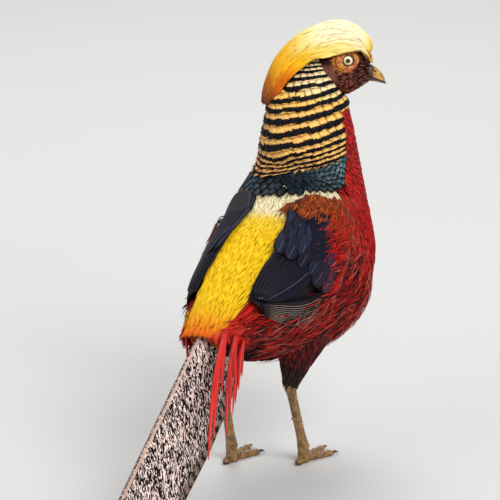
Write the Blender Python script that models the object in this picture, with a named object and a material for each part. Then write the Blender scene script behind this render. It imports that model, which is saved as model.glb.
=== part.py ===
# Golden pheasant cock, life size, standing with its head turned to its right and its tail laid out to the floor.
# It faces +X, its left side is +Y, and the floor is Z = 0. Sizes are in millimetres; add_node turns them into metres.

import math
import random

import bmesh
import bpy
from mathutils import Vector

MM = 0.001
GAP = 0.3  # between pieces that meet
SIDES = {"left": 1, "right": -1}

# Body line from the tail's root to the top of the neck. Each station is
# (x, y, z, pitch, yaw, half width, rise to the back, drop to the belly).
BODY = (
    (-136, 0, 124, 33, 0, 16, 12, 12),
    (-112, -0.5, 128, 31, 0, 24, 22, 28),
    (-77, -3, 132, 30, 0, 37, 41, 48),
    (-37, -7, 140, 33, 0, 48, 56, 64),
    (0, -8, 152, 36, 0, 55.5, 60, 74),
    (31, -5.5, 169, 44, -1, 57, 59, 66),
    (47, -4, 193, 58, -6, 48, 50, 50),
    (52, -3.5, 216, 74, -16, 38.5, 39.5, 42),
    (46, -4.5, 241, 86, -34, 32.5, 34, 36.5),
    (42, -5, 264, 91, -52, 27, 29, 31.5),
    (41, -3.5, 283, 93, -65, 23.5, 24.5, 26),
    (43, -6, 299, 94, -65, 18, 19, 18.5),
    (45, -9, 309, 95, -65, 12, 15, 9),
)
RUMP_START = 0.35
RUMP_END = 1.3  # station where the rump meets the torso
NECK_START = 5.7  # station where the torso meets the neck
NECK_TOP = 11.9

# Cape: tiers of rounded feathers round the neck, and the dark mantle below them on the back. Each tier is
# (station of its roots, angles from the back where it starts and ends, feathers a side, length, half width).
CAPE_TIERS = (
    (10.3, 66, 126, 3, 21, 6.0),
    (9.6, 50, 130, 4, 23, 6.4),
    (8.95, 40, 130, 4, 25, 7.4),
    (8.3, 12, 126, 5, 26, 7.6),
    (7.6, 0, 112, 5, 28, 8.8),
)
MANTLE_TIERS = (
    (6.9, 14, 82, 3, 25, 10.8),
    (6.4, 0, 62, 3, 19, 10.8),
)
VANE_THICK = 0.9

# Head: midpoint between the eyes, and the way the bill points.
EYE_MIDDLE = Vector((55, -33, 308))
HEAD_YAW = -65
# Along the bill's line from the eyes: (forward, up, half width, rise, drop).
SKULL = (
    (-24, -4, 10, 9, 11),
    (-17, -4, 16, 15, 21),
    (-8, -4.5, 17, 16.5, 24),
    (0, -5.5, 15.6, 17.2, 23.5),
    (6, -7, 12.5, 15.5, 19),
    (11, -9, 10, 13.5, 14),
    (15.5, -11, 7.5, 9.5, 9),
    (17.5, -12.4, 5.6, 6, 6.2),
)
# Line of the crest from the forehead over the crown to the nape: (forward, up, way it lies, half width, half depth).
CREST = (
    (14, 1, 100, 6, 2.6),
    (12, 8.5, 112, 10, 4),
    (6, 14.5, 135, 13, 4.4),
    (-5, 17.2, 172, 17, 7),
    (-18, 15, 195, 19, 6.6),
    (-31, 9.6, 208, 19, 6),
    (-42, 2, 220, 18, 4.6),
    (-50.5, -7, 235, 16.5, 3.4),
    (-56, -18, 250, 14, 3),
    (-59.5, -28, 262, 11, 2.5),
    (-61, -37, 266, 7, 2),
)
CREST_CORE_END = 5.1
# Tiers of crest locks: (station of the roots, angles where it starts and ends, locks a side, length, half width).
CREST_TIERS = (
    (0.7, 0, 48, 2, 32, 5.4),
    (2.1, 26, 70, 2, 40, 5.8),
    (3.2, 0, 74, 3, 50, 5.4),
    (4.0, 18, 76, 3, 62, 5.2),
    (4.7, 0, 62, 3, 74, 5.0),
)
LOCK_THICK = 0.8
LOCK_ROOT = -2.6  # how deep the locks are rooted
LOCK_RISE = 0.05  # how fast they part from the crown, for each millimetre of length
EYE_RADIUS = 5.5
EYE_OUT = 11.7  # from the head's middle to the eyeball's centre
# Bill from the face to its tip: (forward, top, line of the mouth, bottom, half width).
BILL = (
    (17.8, -6.7, -16.2, -19.5, 4.6),
    (20, -7.9, -17, -19.8, 4.1),
    (22.5, -9.7, -17.9, -20.3, 3.5),
    (25, -12, -18.9, -20.8, 2.8),
    (27.3, -15.1, -19.9, -21.3, 2),
    (28.8, -18.9, -21.1, -21.9, 1.1),
    (29.8, -22.2, -22.9, -23.3, 0.4),
)
NOSTRIL = (19.6, -10.1, 1.0, 2.1)  # forward, up, radius, stretch

# Tail: its ridge leaves the rump, droops, and levels out as it reaches the floor.
TAIL_ROOT = Vector((-130, 0, 137.5))
TAIL_DROOP = 27  # below level, until it nears the floor
TAIL_YAW = 4.5  # the tail's swing to the bird's right
TAIL_BEND = (175, 330)  # where the droop eases off, as distances from the root
TAIL_REST_DROOP = 3.25
TAIL_PARTING = 250  # where the laid end is parted from the rest
TAIL_REACH = 52  # from the ridge to the outermost edge
TAIL_EDGE_HEIGHT = 5.5  # how far the edges stay above the floor
TAIL_ROOF = 60  # how far each slope falls from level, in degrees
TAIL_CORE = 62  # length of the solid root that holds the feathers
# Tail feathers of one side, from the middle one outwards: (length, width, how far its inner edge is from the ridge).
TAIL_FEATHERS = (
    (640, 48, -2),
    (520, 41, 10),
    (395, 36, 17),
    (290, 32, 22),
    (200, 28, 26),
)
TAIL_THICK = 1.0
TAIL_STEP = 1.5  # each feather lies this far under the one before

# Long narrow coverts beside the tail: (root station, root angle, tip beyond the root as back, out and down).
LONG_COVERTS = (
    (0.62, 52, (120, 36, 66), 4.4),
    (0.75, 76, (94, 30, 50), 4.2),
    (0.9, 100, (78, 22, 34), 4.0),
)
HIDDEN_SWEEP = (0.28, 0.36, 1.1)  # what the left side's coverts have of that, as they hang more steeply
# Tiers of short rump feathers: (station, first and last angle, feathers a side, length, half width).
RUMP_TIERS = (
    (1.18, 0, 112, 4, 19, 7.0),
    (0.8, 16, 82, 2, 18, 7.4),
)

# Folded wing: its middle line on the side of the body, as (station, angle, half width).
WING = (
    (5.1, 42, 11),
    (4.9, 41, 18),
    (4.3, 40, 22),
    (3.7, 46, 25),
    (3.1, 55, 28),
    (2.5, 58, 25),
    (2.0, 58, 18),
    (1.55, 55, 8),
)
# Wing feathers in tiers, each as (start along and across, end along and across, sideways bow, half width, lift,
# count, shift of the start and of the end for each further feather). Along is 0 at the shoulder and 1 at the tip,
# and across is -1 at the back and 1 at the lower edge.
WING_TIERS = (
    ((0.6, 0.96), (0.95, 0.74), 0.3, 3.4, 0.8, 2, (-0.03, 0.0), (-0.07, 0.16)),
    ((0.5, 0.86), (0.99, 0.42), 0.45, 4.0, 2.0, 3, (-0.01, -0.2), (0.0, -0.2)),
    ((0.4, 0.2), (0.98, -0.25), 0.3, 8.6, 2.2, 2, (0.0, -0.62), (-0.08, -0.3)),
    ((0.26, 0.7), (0.5, 0.8), 0.1, 7.0, 2.2, 3, (0.0, -0.6), (0.0, -0.62)),
    ((0.08, 0.5), (0.32, 0.6), 0.0, 9.0, 2.2, 2, (0.0, -0.8), (0.0, -0.8)),
)
WING_THICK = 1.0
WING_CLEAR = 1.1  # from the body to the wing's inner side

# Legs: (x, y, z) of each joint, on the left and right.
HOCK = {"left": Vector((-52, 23, 66)), "right": Vector((-35, -26, 66))}
ANKLE = {"left": Vector((-34, 24, 12)), "right": Vector((-12.5, -27, 12))}
THIGH_TOP = {"left": Vector((-30, 25, 112)), "right": Vector((-17, -28.5, 112))}
THIGH = ((0, 24), (0.3, 19.5), (0.6, 12.5), (0.85, 7.6), (1, 5.4))  # (share of the length, radius)
SHANK_RADIUS = 3.6
SCUTES = 6
SPUR = (0.52, 2.1, 8)  # share down the shank, radius, length
TOES = ((-24, 34), (2, 42), (27, 35))  # (angle from straight ahead, length)
HIND_TOE = (178, 14)
CLAW_SHARE = 0.8  # where the claw takes over from the toe

COLOURS = {
    "breast_red": ((0.45, 0.02, 0.02), 0.7),
    "crest_gold": ((0.88, 0.58, 0.1), 0.6),
    "rump_yellow": ((0.85, 0.55, 0.03), 0.6),
    "cape_orange": ((0.8, 0.33, 0.04), 0.6),
    "wing_dark": ((0.03, 0.03, 0.09), 0.4),
    "tail_mottled": ((0.5, 0.38, 0.28), 0.6),
    "thigh_maroon": ((0.13, 0.02, 0.02), 0.7),
    "leg_scale": ((0.35, 0.24, 0.1), 0.5),
    "bill_horn": ((0.6, 0.48, 0.2), 0.35),
    "eye_cream": ((0.8, 0.75, 0.6), 0.1),
}


def clear_scene():
    for thing in list(bpy.data.objects):
        bpy.data.objects.remove(thing, do_unlink=True)


def material(name):
    found = bpy.data.materials.get(name)
    if found:
        return found
    made = bpy.data.materials.new(name)
    made.use_nodes = True
    shader = made.node_tree.nodes["Principled BSDF"]
    colour, roughness = COLOURS[name]
    shader.inputs["Base Color"].default_value = (*colour, 1)
    shader.inputs["Roughness"].default_value = roughness
    return made


# Curves and directions


def smooth_between(stations, at):
    """A station's values at a fractional index, on a curve through the stations."""
    last = len(stations) - 1
    at = min(max(at, 0), last)
    i = min(int(at), last - 1)
    s = at - i
    before, a, b, after = (stations[min(max(i + k, 0), last)] for k in (-1, 0, 1, 2))
    values = []
    for p0, p1, p2, p3 in zip(before, a, b, after):
        slope_a = (p2 - p0) / (2 if i > 0 else 1)
        slope_b = (p3 - p1) / (2 if i < last - 1 else 1)
        values.append(
            (2 * s**3 - 3 * s**2 + 1) * p1
            + (s**3 - 2 * s**2 + s) * slope_a
            + (3 * s**2 - 2 * s**3) * p2
            + (s**3 - s**2) * slope_b
        )
    return values


def axes_of(pitch, yaw):
    """Forward, left and up directions of something pitched up and turned left by these degrees."""
    p, y = math.radians(pitch), math.radians(yaw)
    forward = Vector((math.cos(p) * math.cos(y), math.cos(p) * math.sin(y), math.sin(p)))
    left = Vector((-math.sin(y), math.cos(y), 0))
    return forward, left, forward.cross(left)


def oval(centre, left, up, half_width, rise, drop, count):
    points = []
    for k in range(count):
        a = 2 * math.pi * k / count
        height = rise if math.cos(a) > 0 else drop
        points.append(centre + left * half_width * math.sin(a) + up * height * math.cos(a))
    return points


def body_ring(at, count, shift=0.0, grow=0.0):
    x, y, z, pitch, yaw, half_width, rise, drop = smooth_between(BODY, at)
    forward, left, up = axes_of(pitch, yaw)
    centre = Vector((x, y, z)) + forward * shift
    return oval(centre, left, up, half_width + grow, rise + grow, drop + grow, count)


def body_place(at, angle):
    x, y, z, pitch, yaw, half_width, rise, drop = smooth_between(BODY, at)
    _, left, up = axes_of(pitch, yaw)
    a = math.radians(angle)
    height = rise if math.cos(a) > 0 else drop
    return Vector((x, y, z)) + left * half_width * math.sin(a) + up * height * math.cos(a)


def crest_place(at, angle):
    """A point of the crest's surface. Angle 0 is its outer side and 90 the bird's left."""
    forward, up, lie, half_width, half_depth = smooth_between(CREST, at)
    _, left, _ = axes_of(0, HEAD_YAW)
    _, _, outward = axes_of(lie + 180, HEAD_YAW)
    a = math.radians(angle)
    return head_place(forward, 0, up) + left * half_width * math.sin(a) + outward * half_depth * math.cos(a)


def surface_frame(place, at, angle):
    """A point of a surface given by its place function, with its outward direction."""
    point = place(at, angle)
    along = place(at + 0.02, angle) - place(at - 0.02, angle)
    around = place(at, angle + 1) - place(at, angle - 1)
    out = along.cross(around).normalized()
    inside = (place(at, angle) + place(at, angle + 180)) / 2
    if out.dot(point - inside) < 0:
        out = -out
    return point, out


def head_place(forward, out, up):
    """A point given from the middle between the eyes: towards the bill, to the left, and up."""
    ahead, left, above = axes_of(0, HEAD_YAW)
    return EYE_MIDDLE + ahead * forward + left * out + above * up


# Meshes


def add_mesh(name, points, faces):
    mesh = bpy.data.meshes.new(name)
    shape = bmesh.new()
    corners = [shape.verts.new(p) for p in points]
    for face in faces:
        shape.faces.new([corners[k] for k in face])
    bmesh.ops.recalc_face_normals(shape, faces=shape.faces)
    bmesh.ops.triangulate(shape, faces=shape.faces)
    shape.to_mesh(mesh)
    shape.free()
    made = bpy.data.objects.new(name, mesh)
    bpy.context.scene.collection.objects.link(made)
    return made


def loft(name, rings):
    """One closed body through rings of the same count, with flat ends."""
    count = len(rings[0])
    points = [p for ring in rings for p in ring]
    faces = []
    for i in range(len(rings) - 1):
        for k in range(count):
            n = (k + 1) % count
            faces.append((i * count + k, i * count + n, (i + 1) * count + n, (i + 1) * count + k))
    faces.append(tuple(range(count)))
    faces.append(tuple((len(rings) - 1) * count + k for k in range(count)))
    return add_mesh(name, points, faces)


def vane(path, half_widths, thick, crown=0.0):
    """A thin blade along a path of (point, side, out), split into triangles alike on both faces."""
    across = (1, 0, -1) if crown else (1, -1)
    points = []
    for (point, side, out), half in zip(path, half_widths):
        for face in (0.5, -0.5):
            for k in across:
                rise = thick * face + crown * half * (1 - abs(k))
                points.append(point + side * half * k + out * rise)
    n = len(across)
    faces = [tuple(range(n)) + tuple(range(2 * n - 1, n - 1, -1))]
    faces = faces if n == 2 else [(0, 1, 4), (0, 4, 3), (1, 2, 5), (1, 5, 4)]
    last = (len(path) - 1) * 2 * n
    faces += [tuple(last + k for k in face) for face in list(faces)]
    for i in range(len(path) - 1):
        a, b = i * 2 * n, (i + 1) * 2 * n
        for k in range(n - 1):
            faces += [(a + k, a + k + 1, b + k + 1), (a + k, b + k + 1, b + k)]
            faces += [(a + n + k, a + n + k + 1, b + n + k + 1), (a + n + k, b + n + k + 1, b + n + k)]
        faces += [(a, b, b + n, a + n)]
        faces += [(a + n - 1, b + n - 1, b + 2 * n - 1, a + 2 * n - 1)]
    return add_mesh("vane", points, faces)


def ball(name, centre, radius, segments=16, rings=10, stretch=1.0, axis=None):
    mesh = bpy.data.meshes.new(name)
    shape = bmesh.new()
    bmesh.ops.create_uvsphere(shape, u_segments=segments, v_segments=rings, radius=radius)
    for corner in shape.verts:
        if axis is not None:
            corner.co += axis * corner.co.dot(axis) * (stretch - 1)
        corner.co += centre
    bmesh.ops.triangulate(shape, faces=shape.faces)
    shape.to_mesh(mesh)
    shape.free()
    made = bpy.data.objects.new(name, mesh)
    bpy.context.scene.collection.objects.link(made)
    return made


def hoop(centre, axis, radius, tube, count=20, sides=6):
    """A closed round ring about an axis."""
    first = axis.cross(Vector((0, 0, 1))).normalized()
    second = axis.cross(first)
    points = []
    for i in range(count):
        a = 2 * math.pi * i / count
        away = first * math.cos(a) + second * math.sin(a)
        for k in range(sides):
            b = 2 * math.pi * k / sides
            points.append(centre + away * (radius + tube * math.cos(b)) + axis * tube * math.sin(b))
    faces = []
    for i in range(count):
        j = (i + 1) % count
        for k in range(sides):
            n = (k + 1) % sides
            faces.append((i * sides + k, i * sides + n, j * sides + n, j * sides + k))
    return add_mesh("hoop", points, faces)


def combined(pieces, operation, first=None):
    """The pieces joined into one, or taken from the first, with the pieces removed."""
    if first is None:
        first = pieces.pop(0)
    if not pieces:
        return first
    gathered = bpy.data.collections.new("gathered")
    bpy.context.scene.collection.children.link(gathered)
    for piece in pieces:
        bpy.context.scene.collection.objects.unlink(piece)
        gathered.objects.link(piece)
    joining = first.modifiers.new("join", "BOOLEAN")
    joining.operation = operation
    joining.operand_type = "COLLECTION"
    joining.collection = gathered
    joining.solver = "MANIFOLD"
    bpy.context.view_layer.update()
    graph = bpy.context.evaluated_depsgraph_get()
    result = bpy.data.meshes.new_from_object(first.evaluated_get(graph))
    first.modifiers.clear()
    first.data = result
    for piece in pieces:
        bpy.data.objects.remove(piece, do_unlink=True)
    bpy.data.collections.remove(gathered)
    keep_largest(first)
    return first


def closed_surfaces(shape):
    unseen = set(shape.faces)
    surfaces = []
    while unseen:
        stack = [unseen.pop()]
        surface = []
        while stack:
            face = stack.pop()
            surface.append(face)
            for edge in face.edges:
                for other in edge.link_faces:
                    if other in unseen:
                        unseen.discard(other)
                        stack.append(other)
        surfaces.append(surface)
    return surfaces


def volume_of(surface):
    total = 0
    for face in surface:
        a, b, c = (corner.co for corner in face.verts)
        total += a.dot(b.cross(c)) / 6
    return total


def keep_largest(thing):
    """Keeps the largest closed surface of a mesh, so that no loose scrap or sealed hollow is left."""
    shape = bmesh.new()
    shape.from_mesh(thing.data)
    bmesh.ops.triangulate(shape, faces=shape.faces)
    surfaces = closed_surfaces(shape)
    if len(surfaces) > 1:
        keep = max(surfaces, key=volume_of)
        loose = [face for surface in surfaces if surface is not keep for face in surface]
        bmesh.ops.delete(shape, geom=loose, context="FACES")
    shape.to_mesh(thing.data)
    shape.free()


def add_node(name, thing, colour):
    """Names the finished piece, colours it and turns it from millimetres into metres."""
    thing.name = name
    thing.data.name = name
    for corner in thing.data.vertices:
        corner.co *= MM
    thing.data.materials.clear()
    thing.data.materials.append(material(colour))
    thing.data.shade_smooth()
    thing.data.set_sharp_from_angle(angle=math.radians(35))
    return thing


# Feathers on a surface


def surface_path(place, at, angle, length, lifts, away, roll=0.0, drift=0.0):
    """Points that march over a surface from a root, each with its side and outward directions."""
    step = length / (len(lifts) - 1)
    spots = []
    for lift in lifts:
        point, out = surface_frame(place, at, angle)
        spots.append((point + out * lift, out))
        speed = (place(at + 0.05, angle) - place(at - 0.05, angle)).length / 0.1
        around = (place(at, angle + 1) - place(at, angle - 1)).length / 2
        at += away * step * math.cos(drift) / max(speed, 2)
        angle += step * math.sin(drift) / max(around, 0.2)
    return framed([spot for spot, _ in spots], [out for _, out in spots], roll)


def framed(points, outs, roll=0.0):
    """A path's points with the side and outward directions of a blade that follows it."""
    path = []
    for i, point in enumerate(points):
        before, after = points[max(i - 1, 0)], points[min(i + 1, len(points) - 1)]
        way = (after - before).normalized()
        side = way.cross(outs[i]).normalized()
        out = side.cross(way).normalized()
        turn = math.radians(roll)
        side, out = side * math.cos(turn) + out * math.sin(turn), out * math.cos(turn) - side * math.sin(turn)
        path.append((point, side, out))
    return path


def rounded(half):
    """Half widths of a feather with a round end, at its root, middle, shoulder and tip."""
    return (half * 0.5, half, half * 0.78, half * 0.14)


def tier_angles(first, last, count):
    """Angles on both sides of the back, with one feather on the middle line where the tier starts there."""
    angles = [first + (last - first) * k / (count - 1) for k in range(count)]
    return [-angle for angle in reversed(angles) if angle > 0] + angles


def feather_tiers(place, tiers, lifts):
    """Tiers of rounded feathers over a surface, with a little seeded unevenness in their lengths."""
    chance = random.Random(7)
    vanes = []
    for at, first, last, count, length, half in tiers:
        for angle in tier_angles(first, last, count):
            reach = length * chance.uniform(0.94, 1.06)
            path = surface_path(place, at, angle, reach, lifts, -1)
            vanes.append(vane(path, rounded(half), VANE_THICK))
    return vanes


# Body


def body_core(name, start, end, rings, count=28, shift=0.0, grow=0.0):
    made = []
    for i in range(rings + 1):
        at = start + (end - start) * i / rings
        made.append(body_ring(at, count, shift if i == 0 else 0.0, grow))
    return loft(name, made)


def make_torso():
    add_node("torso", body_core("torso", RUMP_END, NECK_START, 13, shift=GAP), "breast_red")


def make_rump():
    pieces = [body_core("rump", RUMP_START, RUMP_END, 4, 24)]
    pieces += feather_tiers(rump_place, RUMP_TIERS, (-1.6, 1.2, 2.4, 3.2))
    for at, angle, reach, half in LONG_COVERTS:
        for side in SIDES.values():
            pieces.append(long_covert(at, angle, reach, half, side))
    add_node("rump", combined(pieces, "UNION"), "rump_yellow")


def rump_place(at, angle):
    """The body's surface, run on straight past the rump's end for the feathers that lie over the tail."""
    if at >= RUMP_START:
        return body_place(at, angle)
    way = tail_way(0)
    return body_place(RUMP_START, angle) + way * (RUMP_START - at) * 26


def long_covert(at, angle, reach, half, side):
    """One long narrow covert that sweeps back, out and down beside the tail."""
    root, out = surface_frame(body_place, at, side * angle)
    back, aside, down = reach if side < 0 else [a * b for a, b in zip(reach, HIDDEN_SWEEP)]
    points, outs = [], []
    for s in (0, 0.14, 0.4, 0.7, 1):
        swing = Vector((-back * s, side * aside * s**1.3 - 4.5 * s, -down * s**1.25))
        lift = -2.4 + 5.5 * min(s / 0.14, 1)
        points.append(root + swing + out * lift)
        outs.append((Vector((0, side * 0.9, 0.45)) + out * 0.3).normalized())
    widths = (half * 0.5, half * 0.8, half, half * 0.8, 0.3)
    return vane(framed(points, outs), widths, VANE_THICK)


def make_neck():
    pieces = [body_core("neck", NECK_START, NECK_TOP, 10, 22, shift=GAP)]
    pieces += feather_tiers(body_place, CAPE_TIERS, (-1.6, 1.8, 3.6, 4.6))
    pieces += feather_tiers(body_place, MANTLE_TIERS, (-1.6, 2.0, 3.4, 4.0))
    neck = combined(pieces, "UNION")
    cutters = [skull_core("skull_cut", GAP), crest_core("crest_cut", GAP)]
    add_node("neck", combined(cutters, "DIFFERENCE", neck), "cape_orange")


# Head


def skull_core(name, grow=0.0):
    rings = []
    _, left, above = axes_of(0, HEAD_YAW)
    steps = 9
    for i in range(steps + 1):
        forward, up, half_width, rise, drop = smooth_between(SKULL, i * (len(SKULL) - 1) / steps)
        reach = grow if i == steps else (-grow if i == 0 else 0)
        centre = head_place(forward + reach, 0, up)
        rings.append(oval(centre, left, above, half_width + grow, rise + grow, drop + grow, 18))
    return loft(name, rings)


def crest_core(name, grow=0.0):
    """The crest's solid part, which ends half way to the tips of its locks."""
    rings = []
    _, left, _ = axes_of(0, HEAD_YAW)
    steps = 8
    for i in range(steps + 1):
        at = CREST_CORE_END * i / steps
        forward, up, lie, half_width, half_depth = smooth_between(CREST, at)
        _, _, outward = axes_of(lie + 180, HEAD_YAW)
        thin = 1 - 0.3 * max(i / steps - 0.8, 0) / 0.2
        depth = half_depth * thin + grow
        rings.append(
            oval(head_place(forward, 0, up), left, outward, half_width * thin + grow, depth, depth, 16)
        )
    return loft(name, rings)


def crest_locks():
    """Flat tapered locks in tiers that lie back over the crown and hang to the nape."""
    chance = random.Random(3)
    locks = []
    for at, first, last, count, length, half in CREST_TIERS:
        for angle in tier_angles(first, last, count):
            reach = length * chance.uniform(0.96, 1.04) * (1 - 0.1 * abs(angle) / 90)
            stations = 4 if length < 40 else 5
            shares = [i / (stations - 1) for i in range(stations)]
            lifts = [LOCK_ROOT if s == 0 else 0.7 + LOCK_RISE * reach * s for s in shares]
            path = surface_path(crest_place, at, angle, reach, lifts, 1)
            widths = [half * (0.75 + 0.5 * s - 1.25 * s**3) + 0.35 for s in shares]
            locks.append(vane(path, widths, LOCK_THICK))
    return locks


def make_head():
    _, left, above = axes_of(0, HEAD_YAW)
    pieces = [skull_core("skull"), crest_core("crest")] + crest_locks()
    for side in SIDES.values():
        middle = head_place(0, side * (EYE_OUT + 3.4), 0)
        pieces.append(hoop(middle, left * side, EYE_RADIUS - 0.8, 1.1, 12, 5))
    head = combined(pieces, "UNION")
    sockets = [
        ball("socket", head_place(0, side * EYE_OUT, 0), EYE_RADIUS + GAP, 14, 9) for side in SIDES.values()
    ]
    add_node("head", combined(sockets, "DIFFERENCE", head), "crest_gold")
    for word, side in SIDES.items():
        centre = head_place(0, side * EYE_OUT, 0)
        add_node(f"eye_{word}", ball("eye", centre, EYE_RADIUS, 14, 9), "eye_cream")


def bill_ring(station, upper):
    """Half a ring of the bill, above or below the line of the mouth."""
    forward, top, mouth, bottom, half_width = station
    edge = mouth + GAP / 2 if upper else mouth - GAP / 2
    height = top - edge if upper else edge - bottom
    points = []
    count = 9
    for k in range(count):
        a = math.pi * k / (count - 1)
        rise = height * math.sin(a) ** 0.8 * (1 if upper else -1)
        points.append(head_place(forward, half_width * math.cos(a), edge + rise))
    return points


def make_bill():
    for name, upper in (("bill_upper", True), ("bill_lower", False)):
        last = len(BILL) - 1 if upper else len(BILL) - 2
        rings = [bill_ring(smooth_between(BILL, i * last / 10), upper) for i in range(11)]
        bill = loft(name, rings)
        if upper:
            forward, up, radius, stretch = NOSTRIL
            slope, _, _ = axes_of(-38, HEAD_YAW)
            cuts = []
            for side in SIDES.values():
                cuts.append(ball("nostril", head_place(forward, side * 4.0, up), radius, 8, 6, stretch, slope))
            bill = combined(cuts, "DIFFERENCE", bill)
        add_node(name, bill, "bill_horn")


# Tail


def tail_way(along):
    """Direction of the tail's ridge at a distance from its root."""
    start, end = TAIL_BEND
    share = min(max((along - start) / (end - start), 0), 1)
    ease = share * share * (3 - 2 * share)
    droop = TAIL_DROOP + (TAIL_REST_DROOP - TAIL_DROOP) * ease
    forward, _, _ = axes_of(-droop, 180 + TAIL_YAW)
    return forward


def tail_ridge(along):
    """A point of the tail's ridge, with its backward, left and up directions as the bird has them."""
    steps = max(1, int(abs(along) / 10))
    place = TAIL_ROOT.copy()
    for i in range(steps):
        place = place + tail_way((i + 0.5) * along / steps) * (along / steps)
    back = tail_way(along)
    left = Vector((back.y, -back.x, 0)).normalized()
    return place, back, left, left.cross(back)


def tail_lean(along):
    """How steeply the slopes fall, easing towards level so that their edges stay above the floor."""
    place, _, _, _ = tail_ridge(along)
    room = max(place.z - TAIL_EDGE_HEIGHT, 0) / TAIL_REACH
    return min(math.radians(TAIL_ROOF), math.asin(min(room, 0.87)))


def tail_stations(low, high):
    """Distances along the tail, closer together where it bends."""
    bends = [50, 100, 150, 185, 217, 285, 325, 395, 460, 520, 580]
    return [low] + [at for at in bends if low + 9 < at < high - 9] + [high]


def tail_vane(side, rank, feather, low, high):
    """A stretch of one tail feather: it lies on the slope, under the one before, and tapers to its tip."""
    length, width, inner = feather
    path, halves = [], []
    for along in tail_stations(low, min(high, length)):
        share = along / length
        place, _, left, up = tail_ridge(along)
        grow = 0.3 + 0.7 * min(along / 90, 1) ** 0.8
        taper = max(1 - share**3.2, 0) ** 0.8
        half = width / 2 * grow * taper + 0.4
        away = (inner * grow * (0.3 + 0.7 * taper) if rank else -min(-inner, 0.9 * half)) + half
        lean = tail_lean(along)
        out = left * side * math.sin(lean) + up * math.cos(lean)
        across = left * side * math.cos(lean) - up * math.sin(lean)
        path.append((place + across * away - out * rank * TAIL_STEP, across * -side, out))
        halves.append(half)
    return vane(path, halves, TAIL_THICK)


def tail_feathers(low, high):
    vanes = []
    for rank, feather in enumerate(TAIL_FEATHERS):
        for side in SIDES.values():
            if feather[0] > low + 20:
                vanes.append(tail_vane(side, rank, feather, low, high))
    return vanes


def tail_oval(along, half, rise, drop):
    """A cross-section of the tail's solid core, hung from the ridge."""
    place, _, left, up = tail_ridge(along)
    middle = (rise - drop) / 2
    return oval(place + up * middle, left, up, half, rise - middle, drop + middle, 20)


def block(low, high):
    points = [Vector((x, y, z)) for z in (low[2], high[2]) for y in (low[1], high[1]) for x in (low[0], high[0])]
    faces = [(0, 1, 3, 2), (4, 5, 7, 6), (0, 1, 5, 4), (2, 3, 7, 6), (0, 2, 6, 4), (1, 3, 7, 5)]
    return add_mesh("block", points, faces)


def make_tail():
    root = [body_ring(RUMP_START, 20, -GAP)]
    for along, half, rise, drop in ((20, 13, 0.6, 25), (42, 9.5, -0.8, 23), (TAIL_CORE, 5, -4, 15)):
        root.append(tail_oval(along, half, rise, drop))
    pieces = [loft("root", root)] + tail_feathers(14, TAIL_PARTING - GAP / 2)
    add_node("tail_base", combined(pieces, "UNION"), "tail_mottled")

    start = TAIL_PARTING + GAP / 2
    quills = [tail_oval(start + more, half, -0.6, drop) for more, half, drop in ((0, 20, 14), (14, 17, 11), (30, 12, 5))]
    pieces = [loft("quills", quills)] + tail_feathers(start, 2000)
    laid = combined(pieces, "UNION")
    add_node("tail_end", combined([block((-900, -300, -50), (300, 300, 0))], "DIFFERENCE", laid), "tail_mottled")


# Wings


def wing_place(side, along, across, lift):
    """A point over the folded wing: along it from the shoulder, and across it from the back to below."""
    at, angle, half = smooth_between(WING, along * (len(WING) - 1))
    radius = smooth_between(BODY, at)[5]
    turn = math.degrees(half / radius)
    point, out = surface_frame(body_place, at, side * (angle + turn * across))
    return point + out * (WING_CLEAR + lift), out


def wing_thickness(across):
    return 1.2 + 2.0 * max(1 - across**2, 0)


def wing_blade(side):
    """The wing's solid part, from just off the body out to the roots of its feathers."""
    rings = []
    for i in range(9):
        along = i / 8
        shares = [-1 + k / 2 for k in range(5)]
        outer = [wing_place(side, along, across, wing_thickness(across))[0] for across in shares]
        inner = [wing_place(side, along, across, 0)[0] for across in shares]
        rings.append(outer + inner[::-1])
    return loft("blade", rings)


def wing_vane(side, start, end, bow, half, lift):
    points, outs = [], []
    for s in (0, 0.35, 0.75, 1):
        along = start[0] + (end[0] - start[0]) * s
        across = start[1] + (end[1] - start[1]) * s + bow * math.sin(math.pi * s) * (1 - s)
        rise = wing_thickness(across) - 1.0 + (lift + 1.0) * min(s / 0.35, 1)
        point, out = wing_place(side, along, across, rise)
        points.append(point)
        outs.append(out)
    widths = (half * 0.6, half, half * 0.85, half * 0.15)
    return vane(framed(points, outs), widths, WING_THICK)


def make_wing(word, side):
    pieces = [wing_blade(side)]
    for start, end, bow, half, lift, count, start_step, end_step in WING_TIERS:
        for k in range(count):
            root = (start[0] + start_step[0] * k, start[1] + start_step[1] * k)
            tip = (end[0] + end_step[0] * k, end[1] + end_step[1] * k)
            pieces.append(wing_vane(side, root, tip, bow, half, lift))
    add_node(f"wing_{word}", combined(pieces, "UNION"), "wing_dark")


# Legs


def limb(name, stations, count=14):
    """A round limb through stations of (centre, radius)."""
    rings = []
    for i, (centre, radius) in enumerate(stations):
        before = stations[max(i - 1, 0)][0]
        after = stations[min(i + 1, len(stations) - 1)][0]
        way = (after - before).normalized()
        up = way.cross(Vector((0, 1, 0))).normalized()
        left = up.cross(way).normalized()
        rings.append(oval(centre, left, up, radius, radius, radius, count))
    return loft(name, rings)


def shank_stations(hock, ankle, grow=0.0, shift=0.0):
    """The bare shank with its swollen joints and a raised scute at each step."""
    way = (ankle - hock).normalized()
    stations = [(hock + way * shift, 4.8 + grow)]
    for i in range(SCUTES):
        share = 0.08 + 0.8 * i / SCUTES
        swell = SHANK_RADIUS + 1.1 * (2 * share - 0.95) ** 4
        stations.append((hock.lerp(ankle, share) + way * shift, swell + 0.35 + grow))
        stations.append((hock.lerp(ankle, share + 0.7 / SCUTES) + way * shift, swell + grow))
    stations.append((ankle + way * shift, 4.6 + grow))
    return stations


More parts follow.
